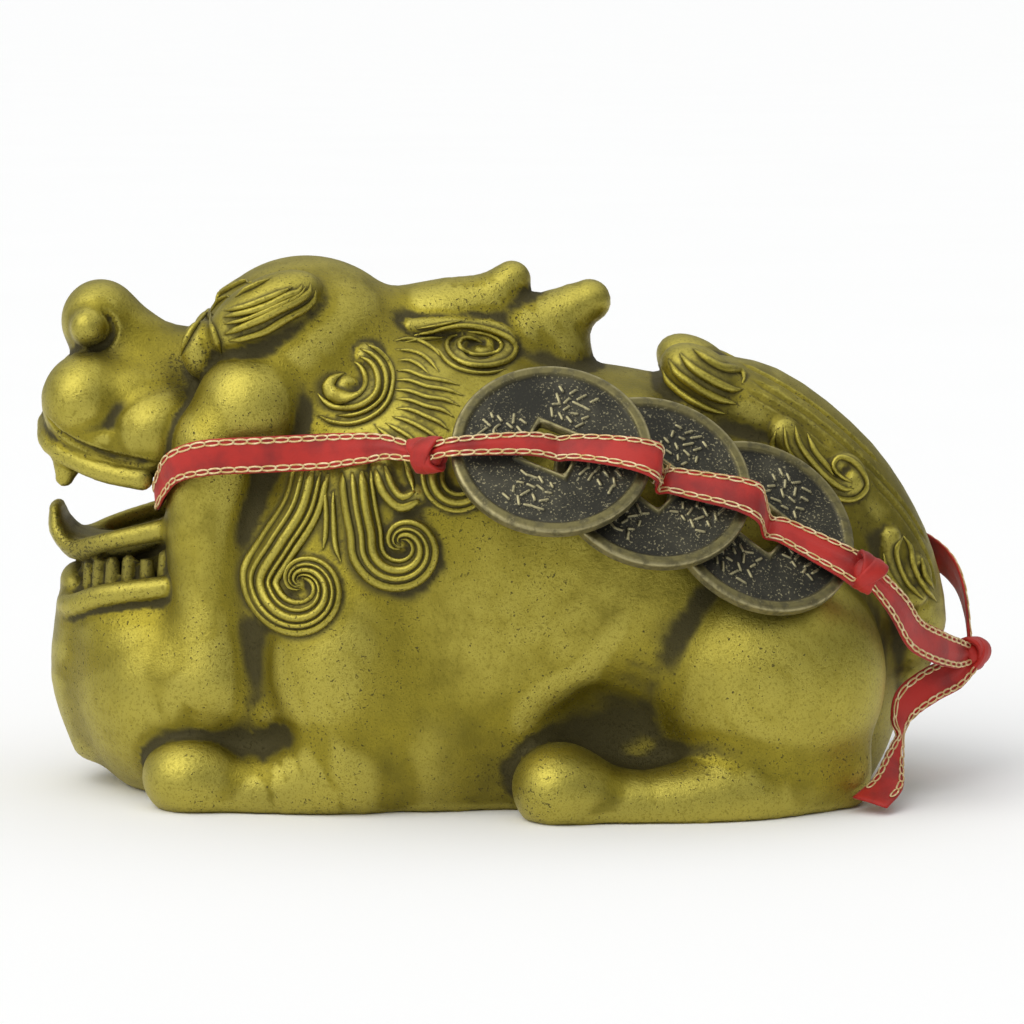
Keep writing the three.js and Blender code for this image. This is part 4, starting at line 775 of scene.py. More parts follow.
def makeFigure(finish):  # the field's surface, its long edges split, with grooves pressed in and hollows marked
    points, triangles = fieldSurface(field, figure["low"], figure["high"], figure["spacing"])
    for _ in range(2):
        points = settled(smoothed(points, triangles, 1), field)
    for _ in range(3):
        points, triangles = splitLong(points, triangles, longestEdge)
        points = settled(points, field)
    points[:, 2] = np.maximum(points[:, 2], 0)
    points = points + vertexNormals(points, triangles) * grooveDepth(points, laidGrooves)[:, None]
    points[:, 2] = np.maximum(points[:, 2], 0)
    normals = vertexNormals(points, triangles)
    bend = ((smoothed(points, triangles, 3) - points) * normals).sum(1)
    crease = np.clip(bend / figure["creaseBend"], 0, 1)
    # hollow and crease carry painted shade with patina, and beside the strands painted shade; worn marks the
    # convex highs
    marks = {
        "hollow": hollowness(points, normals, triangles),
        "crease": np.maximum(crease, figure["besideHair"] * shadeBeside(points, laidStrands)),
        "worn": np.clip(-bend / figure["wornBend"], 0, 1),
    }
    print("figure:", len(points), "points,", len(triangles), "triangles")
    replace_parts(meshPiece("pixiu_casting", points, triangles, finish, "brass", marks), "pixiu_figure")


def evened(directions, rounds=4):  # each direction turns to the mean of itself and its two neighbours
    for _ in range(rounds):
        padded = np.vstack([directions[:1], directions, directions[-1:]])
        directions = unit(padded[:-2] + padded[1:-1] + padded[2:])
    return directions


def makeHair(finish):  # every strand on both sides, with painted shade where it meets the casting and worn along its top
    counts = [len(feet) for feet, _, _ in laidStrands]
    out = slopeOf(field, np.vstack([feet for feet, _, _ in laidStrands]), 0.2)
    parts, rises = [], []
    for (feet, wide, high), normal in zip(laidStrands, np.split(out, np.cumsum(counts)[:-1])):
        rings, rise = strandRings(feet, evened(normal), wide, high * strand["rise"])
        parts.append(loft(rings))
        rises += [rise.ravel(), [0, 0]]
    points, faces = joined(parts)
    rise = np.tile(np.concatenate(rises), 2)
    points = np.vstack([points, points * (1, -1, 1)])
    faces = np.vstack([faces, faces[:, ::-1] + len(points) // 2])
    marks = {
        "hollow": np.full(len(points), strand["hollow"]),
        # painted shade on the strand's lower side, where it meets the casting
        "crease": np.clip((strand["darkBelow"] - rise) / strand["darkFade"], 0, 1),
        "worn": np.clip((rise - strand["wornAbove"]) / strand["wornFade"], 0, 1),
    }
    print("hair:", len(faces), "triangles")
    meshPiece("pixiu_hair", points, faces, finish, "brass", marks)


# the coins

coins = {
    "radius": 11.5, "thickness": 1.5, "holeSide": 5.6, "cornerPower": 9,
    "rimWidth": 1.35, "rimSlope": (0.25, 0.2), "holeRimWidth": 0.5, "holeRimSlope": (0.2, 0.15),
    "fieldDepth": 0.34, "wobble": 0.012, "wear": 0.02,
    "rimRound": 0.3, "rimRoundWidth": 0.6, "holeRoundWidth": 0.3,
    "strokeRise": 0.24, "strokeWidth": 0.15, "edgeAt": (0.15, 0.1), "edgeWidth": 0.3,
    "sectors": 300, "faceRings": 66, "backRings": 14,
    "seeds": {"coin_front": 4, "coin_middle": 11, "coin_rear": 23},
}
ticks = {
    "rows": 4, "start": 4.4, "rowStep": 1.25, "from": -2.5, "to": 2.2, "uneven": (0.5, 0.2),
    "lean": 1.3, "half": (0.28, 0.6), "step": (1, 1.5),
}


def coinFrame(name):  # middle of the coin's back and its three axes, from the solid's own corners
    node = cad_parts[name]
    corners = np.zeros(len(node.data.vertices) * 3)
    node.data.vertices.foreach_get("co", corners)
    corners = np.unique(np.round(corners.reshape(-1, 3) / mm, 3), axis=0)
    middle = (corners.min(0) + corners.max(0)) / 2
    normal = np.linalg.svd(corners - corners.mean(0))[2][2]  # the way in which the corners spread least
    normal *= -np.sign(normal[1])
    x = unit(np.cross((0, 1, 0), normal))
    y = np.cross(normal, x)
    flat = np.stack([(corners - middle) @ x, (corners - middle) @ y], axis=1)
    hole = flat[np.abs(np.linalg.norm(flat, axis=1) - coins["holeSide"] / math.sqrt(2)) < 0.1]
    quarters = np.exp(4j * np.arctan2(hole[:, 1], hole[:, 0])).mean()  # the hole's four corners fall together
    turned = np.angle(quarters) / 4 + math.pi / 4
    across = x * math.cos(turned) + y * math.sin(turned)
    level = ((corners - middle) @ normal).min()
    return middle + normal * level, np.stack([across, np.cross(normal, across), normal])


def coinTicks(seed):  # uneven rows of short tilted ticks on each side of the hole, that spell nothing
    pick = np.random.default_rng(seed)
    sideways, upward = ticks["uneven"]
    ends = []
    for quarter in range(4):
        for row in range(ticks["rows"]):
            x = ticks["from"] + pick.uniform(0, sideways)
            while x < ticks["to"]:
                y = ticks["start"] + row * ticks["rowStep"] + pick.uniform(-upward, upward)
                lean = pick.uniform(-ticks["lean"], ticks["lean"])
                half = pick.uniform(*ticks["half"])
                dx, dy = half * math.cos(lean), half * math.sin(lean)
                ends.append((fullTurn / 4 * quarter, x - dx, y - dy, x + dx, y + dy))
                x += pick.uniform(*ticks["step"])
    turn, x0, y0, x1, y1 = np.array(ends).T
    c, s = np.cos(turn), np.sin(turn)
    return np.stack([c * x0 - s * y0, s * x0 + c * y0, c * x1 - s * y1, s * x1 + c * y1], axis=1)


def softStep(value, low, high):  # nought below, one above, with an even curve between
    t = np.clip((value - low) / (high - low), 0, 1)
    return t * t * (3 - 2 * t)


def rounding(away, width):  # how far a quarter circle falls from its top at a distance from the edge
    return 1 - np.sqrt(np.clip(1 - (1 - np.clip(away / width, 0, 1)) ** 2, 0, 1))


def tickHeight(x, y, seed):  # one along the middle of each tick, falling softly to nought beside it
    lines = coinTicks(seed)
    start, step = lines[:, :2], lines[:, 2:] - lines[:, :2]
    away = np.stack([x.ravel(), y.ravel()], axis=1)[:, None] - start
    along = np.clip((away * step).sum(2) / (step**2).sum(1), 0, 1)
    d = np.linalg.norm(away - along[:, :, None] * step, axis=2).min(1).reshape(x.shape)
    return 1 - softStep(d, coins["strokeWidth"] * 0.5, coins["strokeWidth"] * 1.7)


def makeCoin(name, finish):  # a closed ring: over the face from hole to rim, down the edge, back under
    seed = coins["seeds"][name]
    radius, thick, rings, backRings = [coins[key] for key in ("radius", "thickness", "faceRings", "backRings")]
    share = np.concatenate([np.linspace(0, 1, rings), [1, 1], np.linspace(1, 0, backRings), [0, 0]])
    side = np.concatenate([np.ones(rings), [0.75, 0.25], np.zeros(backRings), [0.3, 0.7]])
    angle = np.linspace(0, fullTurn, coins["sectors"], endpoint=False)
    a, t = np.meshgrid(angle, share)
    level = np.broadcast_to(side[:, None], a.shape)
    power = coins["cornerPower"]
    hole = coins["holeSide"] / 2 / (np.abs(np.cos(a)) ** power + np.abs(np.sin(a)) ** power) ** (1 / power)
    reach = hole + (radius - hole) * t
    x, y = reach * np.cos(a), reach * np.sin(a)
    fromRim, fromHole = radius - reach, np.maximum(np.abs(x), np.abs(y)) - coins["holeSide"] / 2
    lowered = np.ones_like(x)
    for away, width, (inner, outer) in ((fromRim, coins["rimWidth"], coins["rimSlope"]),
                                        (fromHole, coins["holeRimWidth"], coins["holeRimSlope"])):
        lowered *= softStep(away, width - inner, width + outer)
    raised = tickHeight(x, y, seed) * lowered * (level > 0.9)
    waves = np.random.default_rng(seed + 100).normal(0, 1, (4, 6))
    wobble = sum(w[0] * np.sin(x * w[1] * 0.5 + w[2] * 3) * np.cos(y * w[3] * 0.5 + w[4] * 3) for w in waves)
    depth = lowered * (coins["fieldDepth"] + wobble * coins["wobble"])
    depth = depth - raised * coins["strokeRise"] + coins["wear"]
    depth += coins["rimRound"] * rounding(fromRim, coins["rimRoundWidth"])
    depth += coins["rimRound"] * 0.5 * rounding(fromHole, coins["holeRoundWidth"])
    z = thick * level - depth * (level > 0.9) + depth * (level < 0.1)
    middle, axes = coinPlaces[name]
    points = middle + np.stack([x, y, z], axis=-1).reshape(-1, 3) @ axes
    faces = gridQuads(*x.shape, closed=True)[:, [0, 3, 2, 1]]
    fromEdge = np.minimum(np.abs(fromRim - coins["edgeAt"][0]), np.abs(fromHole - coins["edgeAt"][1]))
    edge = np.clip(1 - fromEdge / coins["edgeWidth"], 0, 1)
    marks = {"raised": raised.ravel(), "rim": (1 - lowered).ravel(), "edge": edge.ravel()}
    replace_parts(meshPiece(name + "_relief", points, faces, finish, "coin_bronze", marks), name)
    print(name, "made:", len(points), "points")


bronze = {
    "field": (0.020, 0.019, 0.012),
    "haze": (0.060, 0.056, 0.036),
    "raised": (0.38, 0.34, 0.19),
    "rim": (0.17, 0.148, 0.062),
    "edge": (0.42, 0.37, 0.19),
    "cloud": 180, "fine": 900, "speck": 3600,  # bumps per metre
    "specks": 0.75, "bump": 0.00005,
}


def coinFinish():  # blackened field with pale specks, brassy where it is raised and rubbed
    material, shader, add, place = newFinish("old_coin")
    raised, rim, edge = [markOf(add, name) for name in ("raised", "rim", "edge")]
    cloud, fine = noise(add, place, bronze["cloud"], 4), noise(add, place, bronze["fine"], 4)
    speck = noise(add, place, bronze["speck"], 2)
    tone = mixed(add, ramp(add, cloud, 0.4, 0.75), bronze["field"], bronze["haze"])
    bits = times(add, ramp(add, speck, 0.58, 0.68), ramp(add, cloud, 0.3, 0.55))
    tone = mixed(add, times(add, bits, bronze["specks"]), tone, bronze["raised"])
    rubbed = times(add, rim, ramp(add, fine, 0.30, 0.62, 0.45, 1))
    tone = mixed(add, rubbed, tone, bronze["rim"])
    tone = mixed(add, times(add, edge, ramp(add, fine, 0.35, 0.6, 0.3, 1)), tone, bronze["edge"])
    lifted = times(add, ramp(add, raised, 0.35, 0.8), ramp(add, fine, 0.25, 0.5, 0.55, 1))
    bright = greater(add, rubbed, lifted)
    fill(shader, {
        "Base Color": mixed(add, lifted, tone, bronze["raised"]),
        "Metallic": ramp(add, bright, 0, 1, 0.55, 0.95),
        "Roughness": plus(add, ramp(add, bright, 0, 1, 0.46, 0.36), times(add, speck, 0.15)),
        "Normal": bump(add, plus(add, times(add, speck, 0.5), times(add, fine, 1.0)), bronze["bump"], 0.9),
    })
    return material


# the ribbon

ribbon = {
    "width": 4.2, "thickness": 0.34, "step": 1.25, "fineStep": 0.45,
    "clear": 0.36, "heldReach": 4.5,
    "holeShift": 0.8, "holeDip": 0.2, "holeShare": 0.8, "rimReach": 0.6, "rimShare": 1.2,
    "crown": 0.12, "gather": 0.22, "gatherReach": 4.0, "pleats": 8.5, "across": 13, "thinEdge": 0.55,
    "layRounds": 45, "layShare": 0.6, "tautRounds": 260, "knotReach": 6,
}
stitch = {
    "long": 1.6, "halfLong": 0.86, "halfWide": 0.27, "swell": 0.12, "arch": 0.05,
    "thread": 0.115, "flat": 0.8, "inset": 0.5, "points": 16, "sides": 6,
}
frontKnot = {"at": (-8.2, -25.7, 42.3), "facing": (-0.1, -0.93, 0.35), "share": 0.4, "knot": (2.2, 1.7, 2.1)}
rearKnot = {"at": (42.3, -22.8, 28.3), "facing": (0.4, -0.85, 0.2), "share": 0.5, "knot": (1.8, 1.6, 2.2)}
tailKnot = {"at": (57, 0, 15.3), "facing": (0.95, -0.2, 0.1), "share": 0.5, "knot": (2, 1.9, 2.1)}
winding = {  # tilt, shift, width and size of a knot's bands, as shares of the knot, and its pillowed section
    "bands": ((0.5, -0.35, 0.62, 0.78), (-0.55, 0.3, 0.55, 0.86), (0.1, 0, 0.5, 0.7)),
    "points": 40, "sides": 14, "bulge": 0.42, "pleat": 0.1, "uneven": (0.1, 0.08, 0.15),
    "coreSize": 0.86, "coreLength": 0.9, "coreRings": 15, "coreSides": 24,
}


def route(*rows):  # places of the middle line, the way the face looks, its share of the width, held or not
    keys = ("at", "facing", "share", "held")
    return [dict(zip(keys, row)) for row in rows]


bridle = route(
    ((-40.4, 0, 35.2), (-1, 0, 0), 0.6, True),
    ((-40.4, -8.6, 35.2), (-1, -0.1, 0), 0.6, True),
    ((-40.3, -11.4, 35.6), (-1, -0.2, 0), 0.6, True),
    ((-40.1, -13.9, 36.3), (-0.95, -0.35, -0.1), 0.65, True),
    ((-39.2, -15.4, 38.2), (-0.8, -0.6, 0), 0.75, True),
    ((-37.6, -17.4, 40), (-0.5, -0.85, 0.1), 0.9),
    ((-34.6, -18.4, 41.1), (-0.1, -1, 0.1)),
    ((-28, -18, 41.5), (0.1, -1, 0.1)),
    ((-19, -17.5, 41.7), (0, -1, 0.15)),
    ((-13, -20.5, 42.1), (0, -1, 0.2), 0.85),
)
behindCoins = route(
    ((46, -17.5, 23.5), (0.6, -0.8, 0.2), 0.9),
    ((47.6, -13.5, 20), (0.7, -0.7, 0.1)),
    ((50.4, -8.5, 17.5), (0.8, -0.6, 0.1)),
    ((54, -4, 16), (0.85, -0.5, 0.1), 0.9),
)
farSide = route(
    ((-8, 18, 42), (0, 0.93, 0.35)),
    ((8, 19, 41), (0.1, 0.8, 0.55)),
    ((24, 18, 37), (0.2, 0.8, 0.5)),
    ((38, 14, 31.5), (0.5, 0.8, 0.3)),
    ((47, 9, 27.5), (0.75, 0.6, 0.2)),
    ((53.5, 2.5, 24), (0.95, 0.25, 0.2)),
)
looseEnds = [  # counted from the tail knot
    route(
        ((0, -0.4, -0.4), (0.6, -0.7, 0.5), 0.7),
        ((-2.6, -4.4, -1.6), (0.5, -0.8, 0.3)),
        ((-6.2, -9, -2.6), (0.4, -0.85, 0.3)),
        ((-9, -11.5, -4.3), (0.6, -0.8, 0.1)),
        ((-9.7, -12.3, -6.4), (0.7, -0.7, 0.1), 0.7),
        ((-9.7, -12.6, -7.9), (0.9, -0.3, 0.2), 0.3),
        ((-10.6, -15.5, -10.3), (0.5, -0.5, 0.6), 0.6),
        ((-11.7, -19.5, -12.4), (0.1, -0.4, 0.9), 0.9),
        ((-14, -22.8, -13.9), (0, -0.3, 1), 1.1),
    ),
    route(
        ((0, 0.5, -0.6), (0.8, 0.2, -0.3), 0.7),
        ((-4.6, 1.6, -4.8), (0.8, 0.2, -0.4), 0.9),
        ((-8.8, 2.6, -8.6), (0.8, 0.3, -0.4), 0.9),
    ),
]


def coinDistance(place, p):  # to a flat ring with a square hole
    middle, axes = place
    q = (p - middle) @ axes.T
    across = np.hypot(q[:, 0], q[:, 1]) - coins["radius"]
    hole = coins["holeSide"] / 2 - np.maximum(np.abs(q[:, 0]), np.abs(q[:, 1]))
    through = np.abs(q[:, 2] - coins["thickness"] / 2) - coins["thickness"] / 2
    side = np.maximum(across, hole)
    return np.where((side > 0) & (through > 0), np.hypot(side, through), np.maximum(side, through))


def underRibbon(p):  # distance to what the ribbon lies on
    return np.minimum.reduce([field(p)] + [coinDistance(place, p) for place in coinPlaces.values()])


def throughCoins():  # at each hole the ribbon dips, then crosses the coin's face and bends down over its rim
    places, half = [], coins["thickness"] / 2
    feet = [foot for foot, _ in coinPlaces.values()][1:] + [np.array(rearKnot["at"])]
    for (foot, axes), following in zip(coinPlaces.values(), feet):
        normal = axes[2]
        middle = foot + normal * half
        onward = following - middle
        onward = unit(onward - (onward @ normal) * normal)
        hole = middle + onward * ribbon["holeShift"] + normal * (half - ribbon["holeDip"])
        rim = middle + onward * (coins["radius"] + ribbon["rimReach"])
        rim = rim + normal * (half + ribbon["thickness"] / 2 + ribbon["clear"])
        places += route((hole, normal, ribbon["holeShare"], True), (rim, normal, ribbon["rimShare"], True))
    return places


def mirrored(places):  # the same places on the far side
    other = np.array((1, -1, 1))
    return [{**place, "at": place["at"] * other, "facing": place["facing"] * other} for place in places]


def frameAlong(at, facing):  # run, across and out at each station, from its neighbours and its face's direction
    run = unit(np.gradient(at, axis=0))
    across = unit(np.cross(run, facing))
    return run, across, unit(np.cross(across, run))


def stationsAlong(places):  # stations on a smooth line through the places, with face, width and held marks
    at = np.array([place["at"] for place in places], float)
    facing = unit(np.array([place["facing"] for place in places], float))
    share = np.array([place.get("share", 1) for place in places])
    gaps = np.linalg.norm(np.diff(at, axis=0), axis=1)
    counts = np.maximum(np.round(gaps / ribbon["step"]).astype(int), 1)
    t = np.concatenate([n + np.arange(count) / count for n, count in enumerate(counts)] + [[len(places) - 1]])
    index = np.arange(len(places))
    held = np.zeros(len(t), bool)
    for n, (place, following) in enumerate(zip(places, [*places[1:], {}])):
        held[np.argmin(np.abs(t - n))] = "held" in place or "knot" in place
        if "held" in place and "held" in following and gaps[n] < ribbon["heldReach"]:
            held[(t > n) & (t < n + 1)] = True
    return curveAt(at, t), unit(sampled(facing, index, t)), ribbon["width"] * np.interp(t, index, share), held


def layDown(at, face, width, held):  # each station comes down until it rests, taut over hollows
    run, across, out = frameAlong(at, face)
    sides, ahead = np.meshgrid(np.linspace(-0.5, 0.5, 5), (-0.5, 0, 0.5))
    feet = at[:, None] + across[:, None] * (sides.ravel() * width[:, None])[:, :, None]
    feet = feet + run[:, None] * (ahead.ravel()[:, None] * ribbon["step"] * 1.5)
    most = ribbon["width"] * 2
    lift = np.full(feet.shape[:2], most)
    clear = ribbon["clear"] + ribbon["thickness"] / 2
    for _ in range(ribbon["layRounds"]):
        p = feet + out[:, None] * lift[:, :, None]
        room = underRibbon(p.reshape(-1, 3)).reshape(lift.shape) - clear
        lift = np.where((room > 0.01) & (lift > -most), lift - room * ribbon["layShare"], lift)
    rest = np.where(held, 0, lift.max(1))
    lift = rest.copy()
    for _ in range(ribbon["tautRounds"]):
        for n in np.nonzero(~held[1:-1])[0] + 1:
            lift[n] = max(rest[n], (lift[n - 1] + lift[n + 1]) / 2)
    at = at + out * lift[:, None]
    soft = at.copy()
    soft[1:-1] = (at[:-2] + at[2:] + 2 * at[1:-1]) / 4
    return np.where(held[:, None], at, soft)


def fineLine(at, face, width, knots):  # the stations cut finer, with distances along and from a knot
    t = np.linspace(0, len(at) - 1, int(lengthAlong(at)[-1] / ribbon["fineStep"]))
    line = curveAt(at, t)
    index = np.arange(len(at))
    near = np.min([np.linalg.norm(line - knot["at"], axis=1) for knot in knots], axis=0)
    _, across, out = frameAlong(line, unit(sampled(face, index, t)))
    return {"at": line, "across": across, "out": out, "width": np.interp(t, index, width),
            "along": lengthAlong(line), "near": near}


def bowAt(near, u):  # how far the ribbon's face bows out: a low crown, and pleats that fade away from a knot
    pleat = ribbon["gather"] * np.exp(-near / ribbon["gatherReach"])
    return ribbon["crown"] * (1 - u**2) + pleat * np.cos(u * ribbon["pleats"]) * (1 - u**4)


def stripRings(strip):  # closed outlines along the ribbon: over its face from edge to edge, and back beneath
    count = ribbon["across"]
    u = np.concatenate([np.linspace(-1, 1, count), np.linspace(1, -1, count)])
    half = ribbon["thickness"] / 2 * np.repeat([1, -1], count) * (1 - ribbon["thinEdge"] * np.abs(u) ** 8)
    high = bowAt(strip["near"][:, None], u) + half
    place = strip["at"][:, None] + strip["across"][:, None] * (u * strip["width"][:, None] / 2)[:, :, None]
    return place + strip["out"][:, None] * high[:, :, None]


def chainLinks(strip, edge, face=1):  # an oval thread loop for each stitch, one behind the other along an edge
    along = strip["along"]
    middles = np.arange(stitch["long"], along[-1] - stitch["long"], stitch["long"])
    phi = np.linspace(0, fullTurn, stitch["points"], endpoint=False)
    theta = np.linspace(0, fullTurn, stitch["sides"], endpoint=False)
    s = middles[:, None] + stitch["halfLong"] * np.cos(phi) * (1 + stitch["swell"] * np.abs(np.sin(phi)))
    across, out = unit(sampled(strip["across"], along, s)), unit(sampled(strip["out"], along, s))
    u = edge * (1 - 2 * stitch["inset"] / ribbon["width"])
    aside = u * np.interp(s, along, strip["width"]) / 2 + stitch["halfWide"] * np.sin(phi)
    high = bowAt(np.interp(s, along, strip["near"]), u)
    high = high + face * (ribbon["thickness"] / 2 + stitch["thread"] * 0.5)
    high = high + stitch["arch"] * np.cos(phi)
    line = sampled(strip["at"], along, s) + across * aside[..., None] + out * high[..., None]
    run = unit(np.roll(line, -1, axis=1) - np.roll(line, 1, axis=1))
    side = unit(np.cross(run, out))
    up = np.cross(side, run)
    tube = np.cos(theta)[:, None] * side[:, :, None] + stitch["flat"] * np.sin(theta)[:, None] * up[:, :, None]
    return joined([loft(loop, closed=True) for loop in line[:, :, None] + stitch["thread"] * tube])


def knotParts(knot, run):  # a lump wound with bands of the ribbon, each a closed loop tilted its own way
    run = unit(run)
    out = unit(knot["facing"] - np.dot(knot["facing"], run) * run)
    side = np.cross(run, out)
    long, deep, tall = knot["knot"]
    phi = np.linspace(0, fullTurn, winding["points"], endpoint=False)
    section = np.linspace(0, fullTurn, winding["sides"], endpoint=False)
    stray, swelling, widening = winding["uneven"]
    pillow = np.sin(section) * winding["bulge"]
    pillow = pillow + winding["pleat"] * np.cos(np.cos(section) * 7) * (np.sin(section) > 0)
    parts = []
    for tilt, shift, wide, grow in winding["bands"]:
        x = (np.sin(phi) * tilt + shift * 0.6 + stray * np.sin(3 * phi + tilt * 5)) * long * 0.6
        swell = grow * (1 + swelling * np.sin(2 * phi + tilt * 7))
        line = np.outer(x, run) + np.outer(np.cos(phi) * deep * swell, out)
        line = line + np.outer(np.sin(phi) * tall * swell, side)
        outward = unit(line - np.outer(line @ run, run))
        across = unit(np.cross(unit(np.roll(line, -1, axis=0) - np.roll(line, 1, axis=0)), outward))
        flat = np.cos(section) * (wide * long * (1 + widening * np.sin(phi * 2 + shift * 9)))[:, None]
        rings = line[:, None] + across[:, None] * flat[:, :, None] + outward[:, None] * pillow[:, None]
        parts.append(loft(rings + knot["at"], closed=True))
    a = np.linspace(-1, 1, winding["coreRings"])[:, None, None]  # an egg-shaped core fills the middle
    ring = np.sqrt(np.maximum(1 - a * a, 0.02)) * winding["coreSize"]
    angle = np.linspace(0, fullTurn, winding["coreSides"], endpoint=False)[:, None]
    core = a * long * winding["coreLength"] * run
    core = core + np.cos(angle) * ring * deep * out + np.sin(angle) * ring * tall * side
    return joined(parts + [loft(core + knot["at"])])


def makeRibbon():  # two strands, two loose ends and three knots as one cloth, and the stitches along its edges
    knots = (frontKnot, rearKnot, tailKnot)
    spans = [[*bridle, frontKnot, *throughCoins(), rearKnot, *behindCoins, tailKnot],
             [*mirrored(bridle[:-1]), *farSide, tailKnot]]
    strips = []
    for places in spans:
        at, face, width, held = stationsAlong(places)
        strips.append(fineLine(layDown(at, face, width, held), face, width, knots))
    for places in looseEnds:
        at, face, width, _ = stationsAlong(places)
        strips.append(fineLine(at + tailKnot["at"], face, width, knots))
    cloth = [loft(stripRings(strip)) for strip in strips]
    line, reach = strips[0]["at"], ribbon["knotReach"]
    for knot in knots:
        n = np.linalg.norm(line - knot["at"], axis=1).argmin()
        cloth.append(knotParts(knot, line[min(n + reach, len(line) - 1)] - line[max(n - reach, 0)]))
    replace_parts(meshPiece("ribbon_satin", *joined(cloth), satinFinish(), "ribbon"), "ribbon")
    stitches = [chainLinks(strip, edge) for strip in strips for edge in (-1, 1)]
    stitches += [chainLinks(strip, edge, -1) for strip in strips[2:] for edge in (-1, 1)]
    points, faces = joined(stitches)
    meshPiece("ribbon_stitches", points, faces, threadFinish(), "ribbon")
    print("ribbon:", len(points), "stitch points")


satin = {
    "red": (0.46, 0.014, 0.006), "shade": (0.25, 0.007, 0.004),
    "roughness": 0.5, "sheen": 0.1, "sheenRoughness": 0.4,
    "cloud": 240, "weave": 3800, "bump": 0.00005,
}
thread = {
    "pale": (0.86, 0.70, 0.42), "gold": (0.62, 0.42, 0.16), "metallic": 0.35, "roughness": 0.34,
    "patches": 1400, "glint": 3000,
}


def satinFinish():  # bright red, darker in soft cloudy patches, with the faint cross ribs of a woven satin
    material, shader, add, place = newFinish("red_satin")
    cloud, weave = noise(add, place, satin["cloud"], 3), noise(add, place, satin["weave"], 2)
    fill(shader, {
        "Base Color": mixed(add, ramp(add, cloud, 0.25, 0.6), satin["shade"], satin["red"]),
        "Roughness": plus(add, times(add, weave, 0.15), satin["roughness"]),
        "Sheen Weight": satin["sheen"],
        "Sheen Roughness": satin["sheenRoughness"],
        "Normal": bump(add, plus(add, weave, times(add, cloud, 2.0)), satin["bump"], 0.6),
    })
    return material


def threadFinish():  # pale gold thread with a dull glint
    material, shader, add, place = newFinish("gold_thread")
    patches, glint = noise(add, place, thread["patches"], 2), noise(add, place, thread["glint"], 2)
    fill(shader, {
        "Base Color": mixed(add, ramp(add, patches, 0.35, 0.7), thread["gold"], thread["pale"]),
        "Metallic": thread["metallic"],
        "Roughness": plus(add, thread["roughness"], times(add, glint, 0.2)),
    })
    return material


# floor, light and camera

floor = {
    "half": 40, "tones": ((0.94, 0.94, 0.94), (0.96, 0.96, 0.96)), "patches": 9,
    "roughness": 0.8, "specular": 0.1,
}
lights = {  # where each wide soft lamp stands, its width in degrees, its power per square metre and its colour
    "key": {"from": (-0.62, -0.50, 0.80), "angle": 55, "power": 1.35, "colour": (1.0, 0.985, 0.95)},
    "top": {"from": (0.25, 0.15, 1.0), "angle": 80, "power": 0.65, "colour": (1.0, 1.0, 1.0)},
}
sky = {
    "toward": (-0.45, -0.15, 0.88), "from": -0.3, "to": 0.9,
    "low": 0.14, "high": 0.74, "colour": (0.97, 0.985, 1.0),
}
view = {
    "target": (1.45, 0, 32.6), "distance": 520, "elevation": 7,
    "pixelsPerMm": 8.3, "picture": 1024, "sensor": 36,
}


def floorFinish():  # pale matt board with the faintest unevenness
    material, shader, add, place = newFinish("pale_board")
    fill(shader, {
        "Base Color": mixed(add, noise(add, place, floor["patches"], 2), *floor["tones"]),
        "Roughness": floor["roughness"],
        "Specular IOR Level": floor["specular"],
    })
    return material


def makeFloor():  # one wide flat board
    half = floor["half"]
    mesh = bpy.data.meshes.new("floor")
    corners = [(-half, -half, 0), (half, -half, 0), (half, half, 0), (-half, half, 0)]
    mesh.from_pydata(corners, [], [(0, 1, 2, 3)])
    mesh.materials.append(floorFinish())
    board = bpy.data.objects.new("floor", mesh)
    bpy.context.collection.objects.link(board)


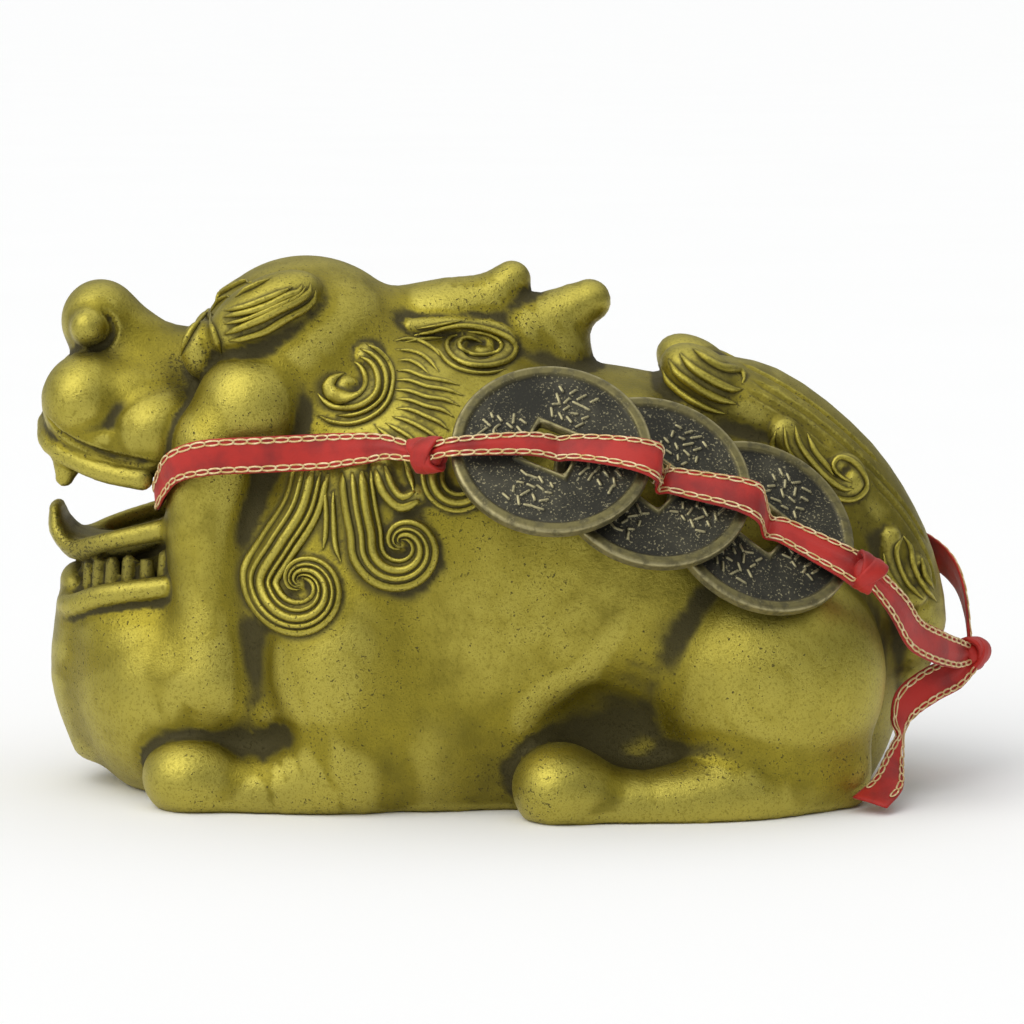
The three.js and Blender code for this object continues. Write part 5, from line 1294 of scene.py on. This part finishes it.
def addLights():  # each lamp looks from its place toward the figure
    for name, light in lights.items():
        lamp = bpy.data.lights.new(name, "SUN")
        lamp.angle = math.radians(light["angle"])
        lamp.energy = light["power"]
        lamp.color = light["colour"]
        holder = bpy.data.objects.new(name, lamp)
        holder.location = light["from"]
        holder.rotation_euler = mathutils.Vector(light["from"]).to_track_quat("Z", "Y").to_euler()
        bpy.context.collection.objects.link(holder)


def addWorld():  # white behind the figure; as light, a tent bright above and to the left, dim by the camera
    world = bpy.data.worlds.new("studio")
    world.use_nodes = True
    world.node_tree.nodes.clear()
    add = adder(world.node_tree)
    way = add("ShaderNodeTexCoord").outputs["Generated"]
    toward = add("ShaderNodeVectorMath", {0: way, 1: sky["toward"]}, operation="DOT_PRODUCT").outputs["Value"]
    strength = add("ShaderNodeMapRange", {"Value": toward, "From Min": sky["from"], "From Max": sky["to"],
                                          "To Min": sky["low"], "To Max": sky["high"]}).outputs["Result"]
    seen = add("ShaderNodeBackground", {"Color": (1, 1, 1, 1)}).outputs[0]
    unseen = add("ShaderNodeBackground", {"Color": (*sky["colour"], 1), "Strength": strength}).outputs[0]
    straight = add("ShaderNodeLightPath").outputs["Is Camera Ray"]
    mix = add("ShaderNodeMixShader", {0: straight, 1: unseen, 2: seen})
    add("ShaderNodeOutputWorld", {0: mix.outputs[0]})
    bpy.context.scene.world = world


def addCamera():  # straight from the near side, a little above
    up = math.radians(view["elevation"])
    data = bpy.data.cameras.new("camera")
    data.sensor_width = view["sensor"]
    data.lens = view["sensor"] * view["distance"] * view["pixelsPerMm"] / view["picture"]
    data.clip_end = 200
    camera = bpy.data.objects.new("camera", data)
    x, y, z = view["target"]
    away = view["distance"]
    camera.location = (x * mm, (y - away * math.cos(up)) * mm, (z + away * math.sin(up)) * mm)
    camera.rotation_euler = (math.pi / 2 - up, 0, 0)
    bpy.context.collection.objects.link(camera)
    bpy.context.scene.camera = camera


makeFloor()
addLights()
addWorld()
addCamera()
bpy.context.scene.view_settings.view_transform = "Standard"
castBrass = brassFinish()
makeFigure(castBrass)
makeHair(castBrass)
coinPlaces = {name: coinFrame(name) for name in coins["seeds"]}
oldCoin = coinFinish()
for coinName in coinPlaces:
    makeCoin(coinName, oldCoin)
makeRibbon()
print("scene made")
